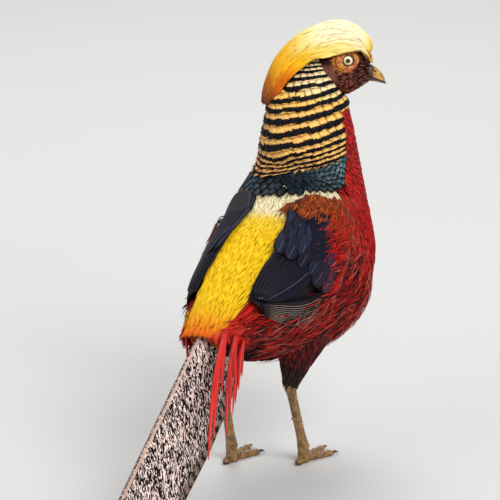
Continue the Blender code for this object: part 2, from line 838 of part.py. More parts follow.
def toe(ankle, angle, length, side):
    """One toe with its claw, flat underneath where it meets the floor."""
    turn = math.radians(angle * side)
    ahead = Vector((math.cos(turn), math.sin(turn), 0))
    across = Vector((-math.sin(turn), math.cos(turn), 0))
    rings = []
    shares = (0, 0.16, 0.45, CLAW_SHARE - 0.04, CLAW_SHARE, 0.91, 1)
    for n, share in enumerate(shares):
        radius = 3.3 - 1.1 * share + (0.35 if n % 2 else 0)
        if share >= CLAW_SHARE:
            radius = 1.7 * (1.03 - share) / (1.03 - CLAW_SHARE) + 0.15
        arch = 3.0 * (1 - share / 0.16) if share < 0.16 else 0
        claw = 1.2 * math.sin(math.pi * (share - CLAW_SHARE) / (1 - CLAW_SHARE)) if share > CLAW_SHARE else 0
        centre = Vector((ankle.x, ankle.y, radius * 0.85 + arch + claw)) + ahead * length * share
        ring = oval(centre, across, Vector((0, 0, 1)), radius, radius, radius, 8)
        for point in ring:
            point.z = max(point.z, 0)
        rings.append(ring)
    return loft("toe", rings)


def make_leg(word, side):
    top, hock, ankle = THIGH_TOP[word], HOCK[word], ANKLE[word]
    thigh = limb("thigh", [(top.lerp(hock, s), r) for s, r in THIGH], 14)
    cutters = [
        body_core("torso_cut", 0, 7.5, 30, grow=GAP),
        limb("shank_cut", shank_stations(hock, ankle, GAP, -GAP), 10),
    ]
    add_node(f"thigh_{word}", combined(cutters, "DIFFERENCE", thigh), "thigh_maroon")

    share, radius, length = SPUR
    root = hock.lerp(ankle, share)
    tip = root + Vector((-length - 3, 0, 2.5))
    spur = limb("spur", [(root, radius), (root.lerp(tip, 0.6), radius * 0.7), (tip, 0.25)], 8)
    shank = combined([limb("shank", shank_stations(hock, ankle), 10), spur], "UNION")
    add_node(f"shank_{word}", shank, "leg_scale")

    toes = [toe(ankle, angle, length, side) for angle, length in TOES + (HIND_TOE,)]
    pad = oval(Vector((ankle.x, ankle.y, 0)), Vector((0, 1, 0)), Vector((1, 0, 0)), 5, 5, 5, 12)
    toes.append(loft("pad", [pad, [point + Vector((0, 0, ankle.z + 1)) for point in pad]]))
    foot = combined(toes, "UNION")
    cut = limb("shank_cut", shank_stations(hock, ankle, GAP, GAP), 10)
    add_node(f"foot_{word}", combined([cut], "DIFFERENCE", foot), "leg_scale")


def centre_on_floor():
    """Slides everything so that the whole stands centred over the origin, with its feet at the floor."""
    things = [thing for thing in bpy.data.objects if thing.type == "MESH"]
    corners = [corner.co for thing in things for corner in thing.data.vertices]
    low = Vector([min(corner[k] for corner in corners) for k in range(3)])
    high = Vector([max(corner[k] for corner in corners) for k in range(3)])
    middle = (low + high) / 2
    for thing in things:
        for corner in thing.data.vertices:
            corner.co -= Vector((middle.x, middle.y, low.z))


def main():
    clear_scene()
    make_torso()
    make_rump()
    make_neck()
    make_head()
    make_bill()
    make_tail()
    for word, side in SIDES.items():
        make_wing(word, side)
        make_leg(word, side)
    centre_on_floor()


main()
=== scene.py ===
import math
from functools import cache

import bmesh
import bpy
import numpy as np
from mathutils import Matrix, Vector
from mathutils.kdtree import KDTree


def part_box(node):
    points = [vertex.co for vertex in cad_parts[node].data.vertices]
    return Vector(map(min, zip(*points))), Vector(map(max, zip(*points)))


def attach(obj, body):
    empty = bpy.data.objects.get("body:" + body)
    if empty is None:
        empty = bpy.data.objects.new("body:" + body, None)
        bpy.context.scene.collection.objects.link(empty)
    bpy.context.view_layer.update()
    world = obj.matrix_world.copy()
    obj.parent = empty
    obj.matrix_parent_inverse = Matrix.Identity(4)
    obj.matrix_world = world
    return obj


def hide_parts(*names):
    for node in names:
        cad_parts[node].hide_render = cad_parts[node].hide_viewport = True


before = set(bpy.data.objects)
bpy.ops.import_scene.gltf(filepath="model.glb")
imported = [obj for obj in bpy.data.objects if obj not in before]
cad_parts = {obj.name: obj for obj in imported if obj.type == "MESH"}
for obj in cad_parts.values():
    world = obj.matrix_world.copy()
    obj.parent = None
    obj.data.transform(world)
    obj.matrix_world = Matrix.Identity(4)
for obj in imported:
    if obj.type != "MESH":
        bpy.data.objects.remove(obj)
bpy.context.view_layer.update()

# Golden pheasant cock. Sizes are in millimetres until a mesh is made, the bird faces +X and its left is +Y.
mm = 0.001
chance = np.random.default_rng(21)
bothSides = {"left": 1, "right": -1}
eyeLow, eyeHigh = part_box("eye_right")
eyeSpot = np.array((44.40, -37.94, 308.0))  # the right eye in the tables below
modelShift = (np.array(eyeLow) + np.array(eyeHigh)) / 2 - eyeSpot * mm

# ---- forms shared with the solids ----
bodyForm = {
    "rumpEnd": 0.35,
    "coatDepth": 2.3,
    # x, y, z, pitch, yaw, half width, rise to the back, drop to the belly
    "line": (
        (-136, 0, 124, 33, 0, 16, 12, 12), (-112, -0.5, 128, 31, 0, 24, 22, 28),
        (-77, -3, 132, 30, 0, 37, 41, 48), (-37, -7, 140, 33, 0, 48, 56, 64),
        (0, -8, 152, 36, 0, 55.5, 60, 74), (31, -5.5, 169, 44, -1, 57, 59, 66),
        (47, -4, 193, 58, -6, 48, 50, 50), (52, -3.5, 216, 74, -16, 38.5, 39.5, 42),
        (46, -4.5, 241, 86, -34, 32.5, 34, 36.5), (42, -5, 264, 91, -52, 27, 29, 31.5),
        (41, -3.5, 283, 93, -65, 23.5, 24.5, 26), (43, -6, 299, 94, -65, 18, 19, 18.5),
        (45, -9, 309, 95, -65, 12, 15, 9),
    ),
}
headForm = {
    "middle": (55, -33, 308),
    "yaw": -65,
    # towards the bill, up, half width, rise, drop
    "skull": (
        (-24, -4, 10, 9, 11), (-17, -4, 16, 15, 21), (-8, -4.5, 17, 16.5, 24), (0, -5.5, 15.6, 17.2, 23.5),
        (6, -7, 12.5, 15.5, 19), (11, -9, 10, 13.5, 14), (15.5, -11, 7.5, 9.5, 9), (17.5, -12.4, 5.6, 6, 6.2),
    ),
    # towards the bill, up, way it lies, half width, half depth
    "crest": (
        (14, 1, 100, 6, 2.6), (12, 8.5, 112, 10, 4), (6, 14.5, 135, 13, 4.4), (-5, 17.2, 172, 17, 7),
        (-18, 15, 195, 19, 6.6), (-31, 9.6, 208, 19, 6), (-42, 2, 220, 18, 4.6), (-50.5, -7, 235, 16.5, 3.4),
        (-56, -18, 250, 14, 3), (-59.5, -28, 262, 11, 2.5), (-61, -37, 266, 7, 2),
    ),
    # forward, top, line of the mouth, bottom, half width
    "bill": (
        (16.2, -6.2, -15.8, -19.0, 5.0), (17.8, -6.7, -16.2, -19.5, 4.6), (20, -7.9, -17, -19.8, 4.1),
        (22.5, -9.7, -17.9, -20.3, 3.5), (25, -12, -18.9, -20.8, 2.8), (27.3, -15.1, -19.9, -21.3, 2),
        (28.8, -18.9, -21.1, -21.9, 1.1), (29.8, -22.2, -22.9, -23.3, 0.4),
    ),
    # where the crest's loose edge hangs beside each station: towards the bill, up, half width
    "crestEdge": (
        (18.0, -5.5, 5.5), (16.5, 0.5, 9), (10, 8.0, 13.5), (-3, 8.2, 17.5), (-16, 5.8, 19.5),
        (-27.5, 3.6, 21.5), (-36.5, -2, 22), (-44.5, -9, 21), (-51, -19.5, 18.5),
        (-55.5, -29, 14.5), (-59.5, -39, 9),
    ),
    "crestGrow": (1.2, 2.6),
}
wingForm = {
    "clear": 1.1,
    # station of the body, angle from the back, half width
    "line": (
        (5.1, 42, 11), (4.9, 41, 18), (4.3, 40, 22), (3.7, 46, 25), (3.1, 55, 28), (2.5, 58, 25),
        (2.0, 58, 18), (1.55, 55, 8),
    ),
}
tailForm = {
    "root": (-130, 0, 137.5), "droop": 27, "yaw": 4.5, "bend": (175, 330), "restDroop": 3.25,
    "roof": 60, "reach": 52, "edgeHeight": 5.5,
}


def srgb(r, g, b):
    c = np.array((r, g, b)) / 255
    return np.where(c <= 0.04045, c / 12.92, ((c + 0.055) / 1.055) ** 2.4)


def unit(v):
    return v / np.maximum(np.linalg.norm(v, axis=-1, keepdims=True), 1e-9)


def ease(low, high, x):
    s = np.clip((np.asarray(x, float) - low) / (high - low), 0, 1)
    return s * s * (3 - 2 * s)


def mix(a, b, share):
    share = np.asarray(share, float)[..., None]
    return np.asarray(a) * (1 - share) + np.asarray(b) * share


def between(stations, at):  # a smooth curve through the stations
    table = np.asarray(stations, float)
    last = len(table) - 1
    at = np.clip(np.asarray(at, float), 0, last)
    i = np.minimum(at.astype(int), last - 1)
    s = (at - i)[..., None]
    p0, p1, p2, p3 = (table[np.clip(i + k, 0, last)] for k in (-1, 0, 1, 2))
    a = (p2 - p0) / np.where(i > 0, 2, 1)[..., None]
    b = (p3 - p1) / np.where(i < last - 1, 2, 1)[..., None]
    made = (2 * s**3 - 3 * s**2 + 1) * p1 + (s**3 - 2 * s**2 + s) * a
    return np.moveaxis(made + (3 * s**2 - 2 * s**3) * p2 + (s**3 - s**2) * b, -1, 0)


def axesOf(pitch, yaw):
    p, y = np.radians(np.asarray(pitch, float)), np.radians(np.asarray(yaw, float))
    p, y = np.broadcast_arrays(p, y)
    forward = np.stack([np.cos(p) * np.cos(y), np.cos(p) * np.sin(y), np.sin(p)], -1)
    left = np.stack([-np.sin(y), np.cos(y), np.zeros_like(y)], -1)
    return forward, left, np.cross(forward, left)


def tailTable():  # the ridge every millimetre from its root
    steps = np.arange(0, 661)
    start, end = tailForm["bend"]
    share = ease(start, end, steps)
    droop = tailForm["droop"] + (tailForm["restDroop"] - tailForm["droop"]) * share
    back = axesOf(-droop, 180 + tailForm["yaw"])[0]
    run = np.concatenate([np.zeros((1, 3)), np.cumsum((back[1:] + back[:-1]) / 2, 0)])
    return steps, np.array(tailForm["root"]) + run, back


tailSteps, tailSpots, tailBacks = tailTable()


def tailRidge(along):
    spot = np.stack([np.interp(along, tailSteps, tailSpots[:, k]) for k in range(3)], -1)
    back = unit(np.stack([np.interp(along, tailSteps, tailBacks[:, k]) for k in range(3)], -1))
    left = unit(np.stack([back[..., 1], -back[..., 0], np.zeros_like(back[..., 0])], -1))
    return spot, back, left, np.cross(left, back)


def ovalPoint(centre, left, up, half, rise, drop, angle):
    a = np.radians(angle)
    high = np.where(np.cos(a) > 0, rise, drop)
    return centre + left * (half * np.sin(a))[..., None] + up * (high * np.cos(a))[..., None]


def bodyPlace(at, angle):  # run on past the rump for the feathers that lie over the tail
    at, angle = np.broadcast_arrays(np.asarray(at, float), np.asarray(angle, float))
    x, y, z, pitch, yaw, half, rise, drop = between(bodyForm["line"], np.maximum(at, bodyForm["rumpEnd"]))
    _, left, up = axesOf(pitch, yaw)
    spot = ovalPoint(np.stack([x, y, z], -1), left, up, half, rise, drop, angle)
    beyond = np.maximum(bodyForm["rumpEnd"] - at, 0) * 26
    return spot + tailBacks[0] * beyond[..., None]


headAhead, headLeft, headUp = axesOf(0, headForm["yaw"])


def headPoint(forward, out, up):
    forward, out, up = np.broadcast_arrays(*(np.asarray(k, float) for k in (forward, out, up)))
    middle = np.array(headForm["middle"], float)
    return middle + headAhead * forward[..., None] + headLeft * out[..., None] + headUp * up[..., None]


def skullPlace(at, angle):
    at, angle = np.broadcast_arrays(np.asarray(at, float), np.asarray(angle, float))
    forward, up, half, rise, drop = between(headForm["skull"], at)
    return ovalPoint(headPoint(forward, 0, up), headLeft, headUp, half, rise, drop, angle)


def crestPlace(at, angle):  # an oval that runs down at each side to the crest's loose edge
    at, angle = np.broadcast_arrays(np.asarray(at, float), np.asarray(angle, float))
    forward, up, lie, half, depth = between(headForm["crest"], at)
    outward = axesOf(lie + 180, headForm["yaw"])[2]
    wider, higher = headForm["crestGrow"]
    flat = np.clip(angle, -90, 90)
    depth = depth + higher
    spot = ovalPoint(headPoint(forward, 0, up), headLeft, outward, half + wider, depth, depth, flat)
    edgeForward, edgeUp, edgeHalf = between(headForm["crestEdge"], at)
    edge = headPoint(edgeForward, np.sign(angle) * edgeHalf, edgeUp)
    return spot + (edge - spot) * (np.clip(np.abs(angle) - 90, 0, 60) / 40)[..., None]


def crestMiddle(at):
    forward, up = between(headForm["crest"], at)[:2]
    return headPoint(forward, 0, up - 6)


def surface(place, at, angle):  # a point and the way out from the form
    spot = place(at, angle)
    along = place(at + 0.02, angle) - place(at - 0.02, angle)
    around = place(at, angle + 1) - place(at, angle - 1)
    out = unit(np.cross(along, around))
    core = crestMiddle(at) if place is crestPlace else (place(at, angle * 0) + place(at, angle * 0 + 180)) / 2
    return spot, out * np.where(np.sum(out * (spot - core), -1) < 0, -1, 1)[..., None]


def wingSpot(side, along, across, lift):
    along, across, lift = np.broadcast_arrays(*(np.asarray(k, float) for k in (along, across, lift)))
    at, middle, half = between(wingForm["line"], along * (len(wingForm["line"]) - 1))
    turn = np.degrees(half / between(bodyForm["line"], at)[5])
    spot, out = surface(bodyPlace, at, side * (middle + turn * across))
    return spot + out * (wingForm["clear"] + lift)[..., None], out


def wingReach(at):  # the wing's middle angle at a station of the body, and how far it reaches to each side
    line = np.array(wingForm["line"])[::-1]
    middle, half = np.interp(at, line[:, 0], line[:, 1]), np.interp(at, line[:, 0], line[:, 2])
    return middle, np.degrees(half / between(bodyForm["line"], at)[5])


def wingAcross(at, angle):  # where a place on the body lies across the wing over it
    middle, turn = wingReach(at)
    return (np.abs(angle) - middle) / turn


def walk(place, at, angle, length, rows, way=-1, drift=0.0):  # a path for each feather over a form
    spots, outs, ats, angles = [], [], [], []
    length, drift = np.broadcast_to(length, at.shape), np.broadcast_to(drift, at.shape)
    for _ in range(rows):
        spot, out = surface(place, at, angle)
        for kept, new in zip((spots, outs, ats, angles), (spot, out, at, angle)):
            kept.append(new)
        speed = np.linalg.norm(place(at + 0.05, angle) - place(at - 0.05, angle), axis=-1) / 0.1
        around = np.linalg.norm(place(at, angle + 1) - place(at, angle - 1), axis=-1) / 2
        at = at + way * length / (rows - 1) * np.cos(drift) / np.maximum(speed, 2)
        angle = angle + length / (rows - 1) * np.sin(drift) / np.maximum(around, 0.2)
    return tuple(np.stack(kept, 1) for kept in (spots, outs, ats, angles))


def rowsOfRoots(place, start, end, rowGap, gap, spread=0.35):  # staggered rows all round a form
    ats, angles = [], []
    at, odd = start, 0
    way = 1 if end > start else -1
    ring = np.linspace(-180, 180, 181)
    while (end - at) * way > 0:
        spots = place(np.full(181, at), ring)
        reach = np.concatenate([[0], np.cumsum(np.linalg.norm(np.diff(spots, axis=0), axis=1))])
        count = max(int(reach[-1] / gap), 6)
        picks = (np.arange(count) + 0.5 * odd + chance.uniform(-spread, spread, count)) / count * reach[-1]
        angles.append(np.interp(picks % reach[-1], reach, ring))
        speed = np.linalg.norm(place(at + 0.05, 90.0) - place(at - 0.05, 90.0)) / 0.1
        step = rowGap / max(speed, 4)
        ats.append(at + step * chance.uniform(-0.45, 0.45, count))
        at += way * step
        odd = 1 - odd
    return np.concatenate(ats), np.concatenate(angles)


def bodyUnwrap(at, angle):  # each root's place on an unwrap of the body
    return np.stack([0.02 + 0.95 * (angle / 360 + 0.5), 0.02 + 0.95 * np.clip(at + 0.6, 0, 13) / 13], -1)


# ---- blades: many thin closed feathers in one mesh ----
def layBlades(spots, outs, halves, tints, roots, lifts=0.0, crown=0.12, thick=0.25, columns=3,
              marks=((0, 0, 0),), patch=(0.003, 0.003), span=0.0):
    count, rows = halves.shape
    spots = spots + outs * np.broadcast_to(lifts, (count, rows))[..., None]
    ways = unit(np.gradient(spots, axis=1))
    sides = unit(np.cross(ways, outs))
    ups = np.cross(sides, ways)
    top = np.linspace(-1, 1, columns)
    place = np.concatenate([top, top[-2:0:-1]])
    face = np.concatenate([np.ones(columns), -np.ones(columns - 2)])
    arch = 1 - place**2
    width = halves[..., None]
    rise = crown * width * arch + thick / 2 * arch * face * np.minimum(1, width * 2)
    points = spots[:, :, None] + sides[:, :, None] * (width * place)[..., None]
    points = points + ups[:, :, None] * rise[..., None]
    m = len(place)
    along, across, seeds = (np.broadcast_to(values, (count, rows, m)) for values in (
        np.linspace(0, 1, rows)[:, None], place, chance.uniform(0, 1, (count, 1, 1))))
    miles = along * np.broadcast_to(np.asarray(span, float), (count,))[:, None, None]
    tints = tints[:, None] if tints.ndim == 2 else tints
    marks = np.asarray(marks, float)[:, None, None]
    uv = roots[:, None, None] + np.stack([(across * 0.5 + 0.5) * patch[0], along * patch[1]], -1)
    r, j = np.meshgrid(np.arange(rows - 1), np.arange(m), indexing="ij")
    k = (j + 1) % m
    quads = np.stack([r * m + j, r * m + k, (r + 1) * m + k, (r + 1) * m + j], -1).reshape(-1, 4)
    caps = np.stack([np.arange(m)[::-1], (rows - 1) * m + np.arange(m)])
    base = (np.arange(count) * rows * m)[:, None, None]
    return {
        "quads": (quads + base).reshape(-1, 4), "caps": (caps + base).reshape(-1, m),
        "points": points.reshape(-1, 3), "uv": uv.reshape(-1, 2),
        "plume": np.stack([along, across, seeds], -1).reshape(-1, 3),
        "span": np.stack([miles, across * width, seeds], -1).reshape(-1, 3),
        "tint": np.broadcast_to(tints[:, :, None], (count, rows, m, 3)).reshape(-1, 3),
        "mark": np.broadcast_to(marks, (count, rows, m, 3)).reshape(-1, 3),
    }


def bladePiece(name, batches, material, slotName, replaced=()):
    starts, loops, total, offset = [], [], 0, 0
    for b in batches:
        for faces in (b["quads"], b["caps"]):
            starts.append(total + np.arange(len(faces)) * faces.shape[1])
            loops.append((faces + offset).ravel())
            total += faces.size
        offset += len(b["points"])
    keys = ("points", "plume", "span", "tint", "mark", "uv")
    gather = {key: np.concatenate([b[key] for b in batches]) for key in keys}
    loops, starts = np.concatenate(loops), np.concatenate(starts)
    mesh = bpy.data.meshes.new(name)
    mesh.vertices.add(offset)
    mesh.vertices.foreach_set("co", (gather["points"] * mm + modelShift).ravel())
    mesh.loops.add(len(loops))
    mesh.loops.foreach_set("vertex_index", loops.astype(np.int32))
    mesh.polygons.add(len(starts))
    mesh.polygons.foreach_set("loop_start", starts.astype(np.int32))
    mesh.update(calc_edges=True)
    mesh.validate()
    for label, key in (("Plume", "plume"), ("Span", "span"), ("Mark", "mark")):
        mesh.attributes.new(label, "FLOAT_VECTOR", "POINT").data.foreach_set("vector", gather[key].ravel())
    tone = np.concatenate([np.clip(gather["tint"], 0, 1), np.ones((offset, 1))], 1)
    mesh.attributes.new("Tint", "FLOAT_COLOR", "POINT").data.foreach_set("color", tone.ravel())
    mesh.uv_layers.new(name="OFBake").data.foreach_set("uv", gather["uv"][loops].ravel())
    mesh.shade_smooth()
    return addPiece(name, mesh, material, slotName, replaced)


def addPiece(name, mesh, material, slotName, replaced=()):
    thing = bpy.data.objects.new(name, mesh)
    bpy.context.scene.collection.objects.link(thing)
    mesh.materials.clear()
    mesh.materials.append(material)
    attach(thing, "root")
    if replaced:
        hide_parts(*replaced)
    print("made", name, len(mesh.polygons), "faces")
    return thing


def toWorld(shape):
    for vert in shape.verts:
        vert.co = vert.co * mm + Vector(modelShift)


def pieceFromShape(name, shape, material, slotName, replaced=()):
    bmesh.ops.recalc_face_normals(shape, faces=shape.faces)
    toWorld(shape)
    mesh = bpy.data.meshes.new(name)
    shape.to_mesh(mesh)
    shape.free()
    mesh.shade_smooth()
    return addPiece(name, mesh, material, slotName, replaced)


def loftRings(shape, rings, closed=True):  # a circle is extruded from ring to ring
    key = shape.verts.layers.int.get("corner") or shape.verts.layers.int.new("corner")
    made = bmesh.ops.create_circle(shape, cap_ends=False, radius=1, segments=len(rings[0]))["verts"]
    for k, vert in enumerate(made):
        vert[key] = k
        vert.co = rings[0][k]
    edges = list(dict.fromkeys(edge for vert in made for edge in vert.link_edges))
    every = list(edges)
    for spots in rings[1:]:
        grown = bmesh.ops.extrude_edge_only(shape, edges=edges)["geom"]
        for vert in grown:
            if isinstance(vert, bmesh.types.BMVert):
                vert.co = spots[vert[key]]
        fresh = {vert for vert in grown if isinstance(vert, bmesh.types.BMVert)}
        edges = [e for e in grown if isinstance(e, bmesh.types.BMEdge) and all(v in fresh for v in e.verts)]
        every += edges
    if closed:
        bmesh.ops.holes_fill(shape, edges=[e for e in every if e.is_boundary], sides=0)


def ringOf(place, at, count, lift=0.0):
    angles = np.linspace(0, 360, count, endpoint=False)
    spot, out = surface(place, np.full(count, float(at)), angles)
    return spot + out * lift


# ---- shader helpers ----
class Signal:  # a varying shader value: sums of it become math nodes
    def __init__(self, tree, socket):
        self.tree, self.socket = tree, socket

    def calc(self, operation, *others):
        return node(self.tree, "ShaderNodeMath", dict(enumerate((self, *others))), operation=operation)

    def __add__(self, other):
        return self.calc("ADD", other)

    def __sub__(self, other):
        return self.calc("SUBTRACT", other)

    def __rsub__(self, other):
        return node(self.tree, "ShaderNodeMath", {0: other, 1: self}, operation="SUBTRACT")

    def __mul__(self, other):
        return self.calc("MULTIPLY", other)

    def __abs__(self):
        return self.calc("ABSOLUTE")


def plug(socket, value):
    if isinstance(value, Signal):
        value.tree.links.new(value.socket, socket)
    else:
        socket.default_value = (*value, 1) if socket.type == "RGBA" else value


def node(tree, kind, inputs, output=0, **settings):
    made = tree.nodes.new(kind)
    for key, value in settings.items():
        setattr(made, key, value)
    for key, value in inputs.items():
        plug(made.inputs[key], value)
    return Signal(tree, made.outputs[output])


def blend(share, a, b, kind="MIX"):
    tree = next(k.tree for k in (share, a, b) if isinstance(k, Signal))
    return node(tree, "ShaderNodeMix", {0: share, 6: a, 7: b}, 2, data_type="RGBA", blend_type=kind)


def darker(tone, by):
    return blend(1.0, tone, by, "MULTIPLY")


def band(value, low, high):  # 0 below low, 1 above high
    inputs = {"Value": value, "From Min": low, "From Max": high}
    return node(value.tree, "ShaderNodeMapRange", inputs, "Result", interpolation_type="SMOOTHSTEP")


def inside(value, low, high):  # 1 below low, 0 above high
    return 1.0 - band(value, low, high)


def attribute(tree, name, output="Vector"):
    return node(tree, "ShaderNodeAttribute", {}, output, attribute_name=name)


def split(vector):
    made = vector.tree.nodes.new("ShaderNodeSeparateXYZ")
    plug(made.inputs[0], vector)
    return [Signal(vector.tree, output) for output in made.outputs]


def join(x, y, z):
    return node(x.tree, "ShaderNodeCombineXYZ", {0: x, 1: y, 2: z})


def noiseOf(tree, scale, spot=None, **inputs):
    spot = spot or node(tree, "ShaderNodeTexCoord", {}, "Object")
    return node(tree, "ShaderNodeTexNoise", {"Vector": spot, "Scale": scale, **inputs}, "Fac")


def cellsOf(tree, scale, feature="F1"):
    spot = node(tree, "ShaderNodeTexCoord", {}, "Object")
    return node(tree, "ShaderNodeTexVoronoi", {"Vector": spot, "Scale": scale}, "Distance", feature=feature)


def newGroup(name, floats, output):
    tree = bpy.data.node_groups.new(name, "ShaderNodeTree")
    tree.interface.new_socket("Plume", in_out="INPUT", socket_type="NodeSocketVector")
    for label in floats:
        tree.interface.new_socket(label, in_out="INPUT", socket_type="NodeSocketFloat")
    tree.interface.new_socket(output, in_out="OUTPUT", socket_type="NodeSocketFloat")
    start, end = tree.nodes.new("NodeGroupInput"), tree.nodes.new("NodeGroupOutput")
    return tree, [Signal(tree, start.outputs[label]) for label in ("Plume", *floats)], end.inputs[output]


def makeBarbGroup():  # fine streaks that run out from the shaft, or along the feather where Hair is 1
    tree, (plume, lines, hair), end = newGroup("barbGrain", ("Lines", "Hair"), "Streak")
    along, across, seed = split(plume)
    barb = along - abs(across) * 0.35
    line = barb * (1.0 - hair) + across * 0.5 * hair
    noise = noiseOf(tree, 1.0, join(line * lines, along * 1.5, seed * 91.0), Detail=2.0)
    plug(end, band(noise, 0.32, 0.68))
    return tree


def makeRimGroup():  # 0 inside a feather and 1 at its rim and tip
    tree, (plume, width), end = newGroup("featherRim", ("Width",), "Rim")
    along, across, _ = split(plume)
    ahead = ((along - 0.5) * 2.0).calc("MAXIMUM", 0.0)
    reach = (abs(across).calc("POWER", 2.4) + ahead.calc("POWER", 2.4)).calc("SQRT")
    rim = (reach - (1.0 - width)).calc("DIVIDE", 0.1)
    plug(end, node(tree, "ShaderNodeClamp", {0: rim}))
    return tree


barbGroup = makeBarbGroup()
rimGroup = makeRimGroup()


def rimOf(plume, width):
    return node(plume.tree, "ShaderNodeGroup", {"Plume": plume, "Width": width}, node_tree=rimGroup)


def plumage(tree, lines, hair):  # tint, streaks, place on the feather, and that place's three parts
    plume = attribute(tree, "Plume")
    inputs = {"Plume": plume, "Lines": lines, "Hair": hair}
    streak = node(tree, "ShaderNodeGroup", inputs, node_tree=barbGroup)
    return attribute(tree, "Tint", "Color"), streak, plume, *split(plume)


socketNames = {"coat": "Coat Weight", "coatRough": "Coat Roughness", "specular": "Specular IOR Level"}


def newMaterial(name, roughness, **fixed):
    material = bpy.data.materials.new(name)
    material.use_nodes = True
    sockets = material.node_tree.nodes["Principled BSDF"].inputs
    sockets["Roughness"].default_value = roughness
    for key, value in fixed.items():
        sockets[socketNames[key]].default_value = value
    return material, material.node_tree


def finish(material, tone, height=None, strength=0.3, distance=0.0003):
    tree = material.node_tree
    sockets = tree.nodes["Principled BSDF"].inputs
    plug(sockets["Base Color"], tone)
    if height:
        bump = {"Height": height, "Strength": strength, "Distance": distance}
        plug(sockets["Normal"], node(tree, "ShaderNodeBump", bump))
    return material


@cache
def speckled(name, roughness, scale, first, second, bump=None, **fixed):  # two tones mixed by a fine noise
    material, tree = newMaterial(name, roughness, **fixed)
    noise = noiseOf(tree, scale)
    tone = blend(noise, srgb(*first), srgb(*second))
    return finish(material, tone, noise, *bump) if bump else finish(material, tone)


def softPlume(name, settings):  # tinted feathers with streaks, darker towards their hidden roots
    material, tree = newMaterial(name, settings.get("rough", 0.6), specular=0.25)
    tint, streak, _, along, _, _ = plumage(tree, settings["lines"], 1.0)
    body = blend(band(along, *settings["rootDark"]), darker(tint, settings["deep"]), tint)
    tone = blend(streak * settings["contrast"], body, darker(body, settings["streakTint"]))
    return finish(material, tone, streak, settings["bump"], 0.0004)


print("forms and shader groups ready")

# ---- camera, floor and lights ----
view = {
    "target": (-9.3, 19.9, 163.2), "azimuth": -65, "elevation": 15, "distance": 5.0,
    "pxPerMm": 1.3, "pixels": 500, "sensor": 36, "clipEnd": 60,
}


def makeCamera():
    data = bpy.data.cameras.new("photoCamera")
    data.sensor_width = view["sensor"]
    data.lens = view["sensor"] * view["pxPerMm"] * view["distance"] * 1000 / view["pixels"]
    data.clip_end = view["clipEnd"]
    camera = bpy.data.objects.new("photoCamera", data)
    bpy.context.scene.collection.objects.link(camera)
    az, el = math.radians(view["azimuth"]), math.radians(view["elevation"])
    back = Vector((math.sin(az) * math.cos(el), -math.cos(az) * math.cos(el), math.sin(el)))
    target = Vector(np.array(view["target"]) * mm + modelShift)
    camera.location = target + back * view["distance"]
    camera.rotation_euler = back.to_track_quat("Z", "Y").to_euler()
    bpy.context.scene.camera = camera
    return target


studio = {
    "floor": (0.6, 0.6, 0.59), "floorSize": 30, "world": 0.5,
    # place, size and power
    "lights": {"keyLight": ((-1.1, -1.9, 2.2), 1.6, 68), "fillLight": ((-2.2, 1.2, 1.4), 2.2, 14),
               "rimLight": ((1.6, 0.6, 2.0), 1.4, 30)},
}


def makeStudio(target):
    bpy.context.scene.view_settings.view_transform = "Standard"
    shape = bmesh.new()
    bmesh.ops.create_grid(shape, x_segments=1, y_segments=1, size=studio["floorSize"])
    mesh = bpy.data.meshes.new("floor")
    shape.to_mesh(mesh)
    shape.free()
    floor = bpy.data.objects.new("floor", mesh)
    bpy.context.scene.collection.objects.link(floor)
    material, tree = newMaterial("paleFloor", 0.8)
    pale = studio["floor"]
    mesh.materials.append(finish(material, blend(noiseOf(tree, 3.0), pale, [c * 0.97 for c in pale])))
    world = bpy.data.worlds.new("studio")
    world.use_nodes = True
    world.node_tree.nodes["Background"].inputs[0].default_value = (1, 1, 1, 1)
    world.node_tree.nodes["Background"].inputs[1].default_value = studio["world"]
    bpy.context.scene.world = world
    for name, (spot, size, power) in studio["lights"].items():
        data = bpy.data.lights.new(name, "AREA")
        data.shape = "DISK"
        data.size = size
        data.energy = power
        lamp = bpy.data.objects.new(name, data)
        bpy.context.scene.collection.objects.link(lamp)
        lamp.location = Vector(spot)
        lamp.rotation_euler = (Vector(spot) - target).to_track_quat("Z", "Y").to_euler()


makeStudio(makeCamera())
print("camera and studio ready")

# ---- colours of the plumage ----
paint = {
    "cream": (0.97, 0.88, 0.58), "lemon": (1.0, 0.76, 0.07), "yellow": (1.0, 0.66, 0.004),
    "gold": (0.95, 0.4, 0.01), "orange": (0.85, 0.19, 0.0), "rust": (0.34, 0.055, 0.01),
    "scarlet": (0.7, 0.01, 0.004), "crimson": (0.3, 0.003, 0.005), "maroon": (0.06, 0.003, 0.004),
    "black": (0.006, 0.004, 0.005), "brown": (0.1, 0.03, 0.015),
    "pink": (0.5, 0.2, 0.14), "coral": (0.8, 0.09, 0.04),
}
paint = {name: np.array(tone) for name, tone in paint.items()}
plumageEdges = {
    # stations and angles of the yellow back's side edge
    "back": ((0.0, 0.5, 0.9, 1.2, 1.45, 1.8, 2.2, 3, 4, 4.7, 5.3),
             (10, 24, 38, 50, 48, 40, 40, 40, 40, 34, 30)),
    # angles and stations where the cream collar under the cape starts
    "cream": ((0, 20, 32, 45, 60), (4.42, 4.5, 4.7, 5.2, 5.8)),
}


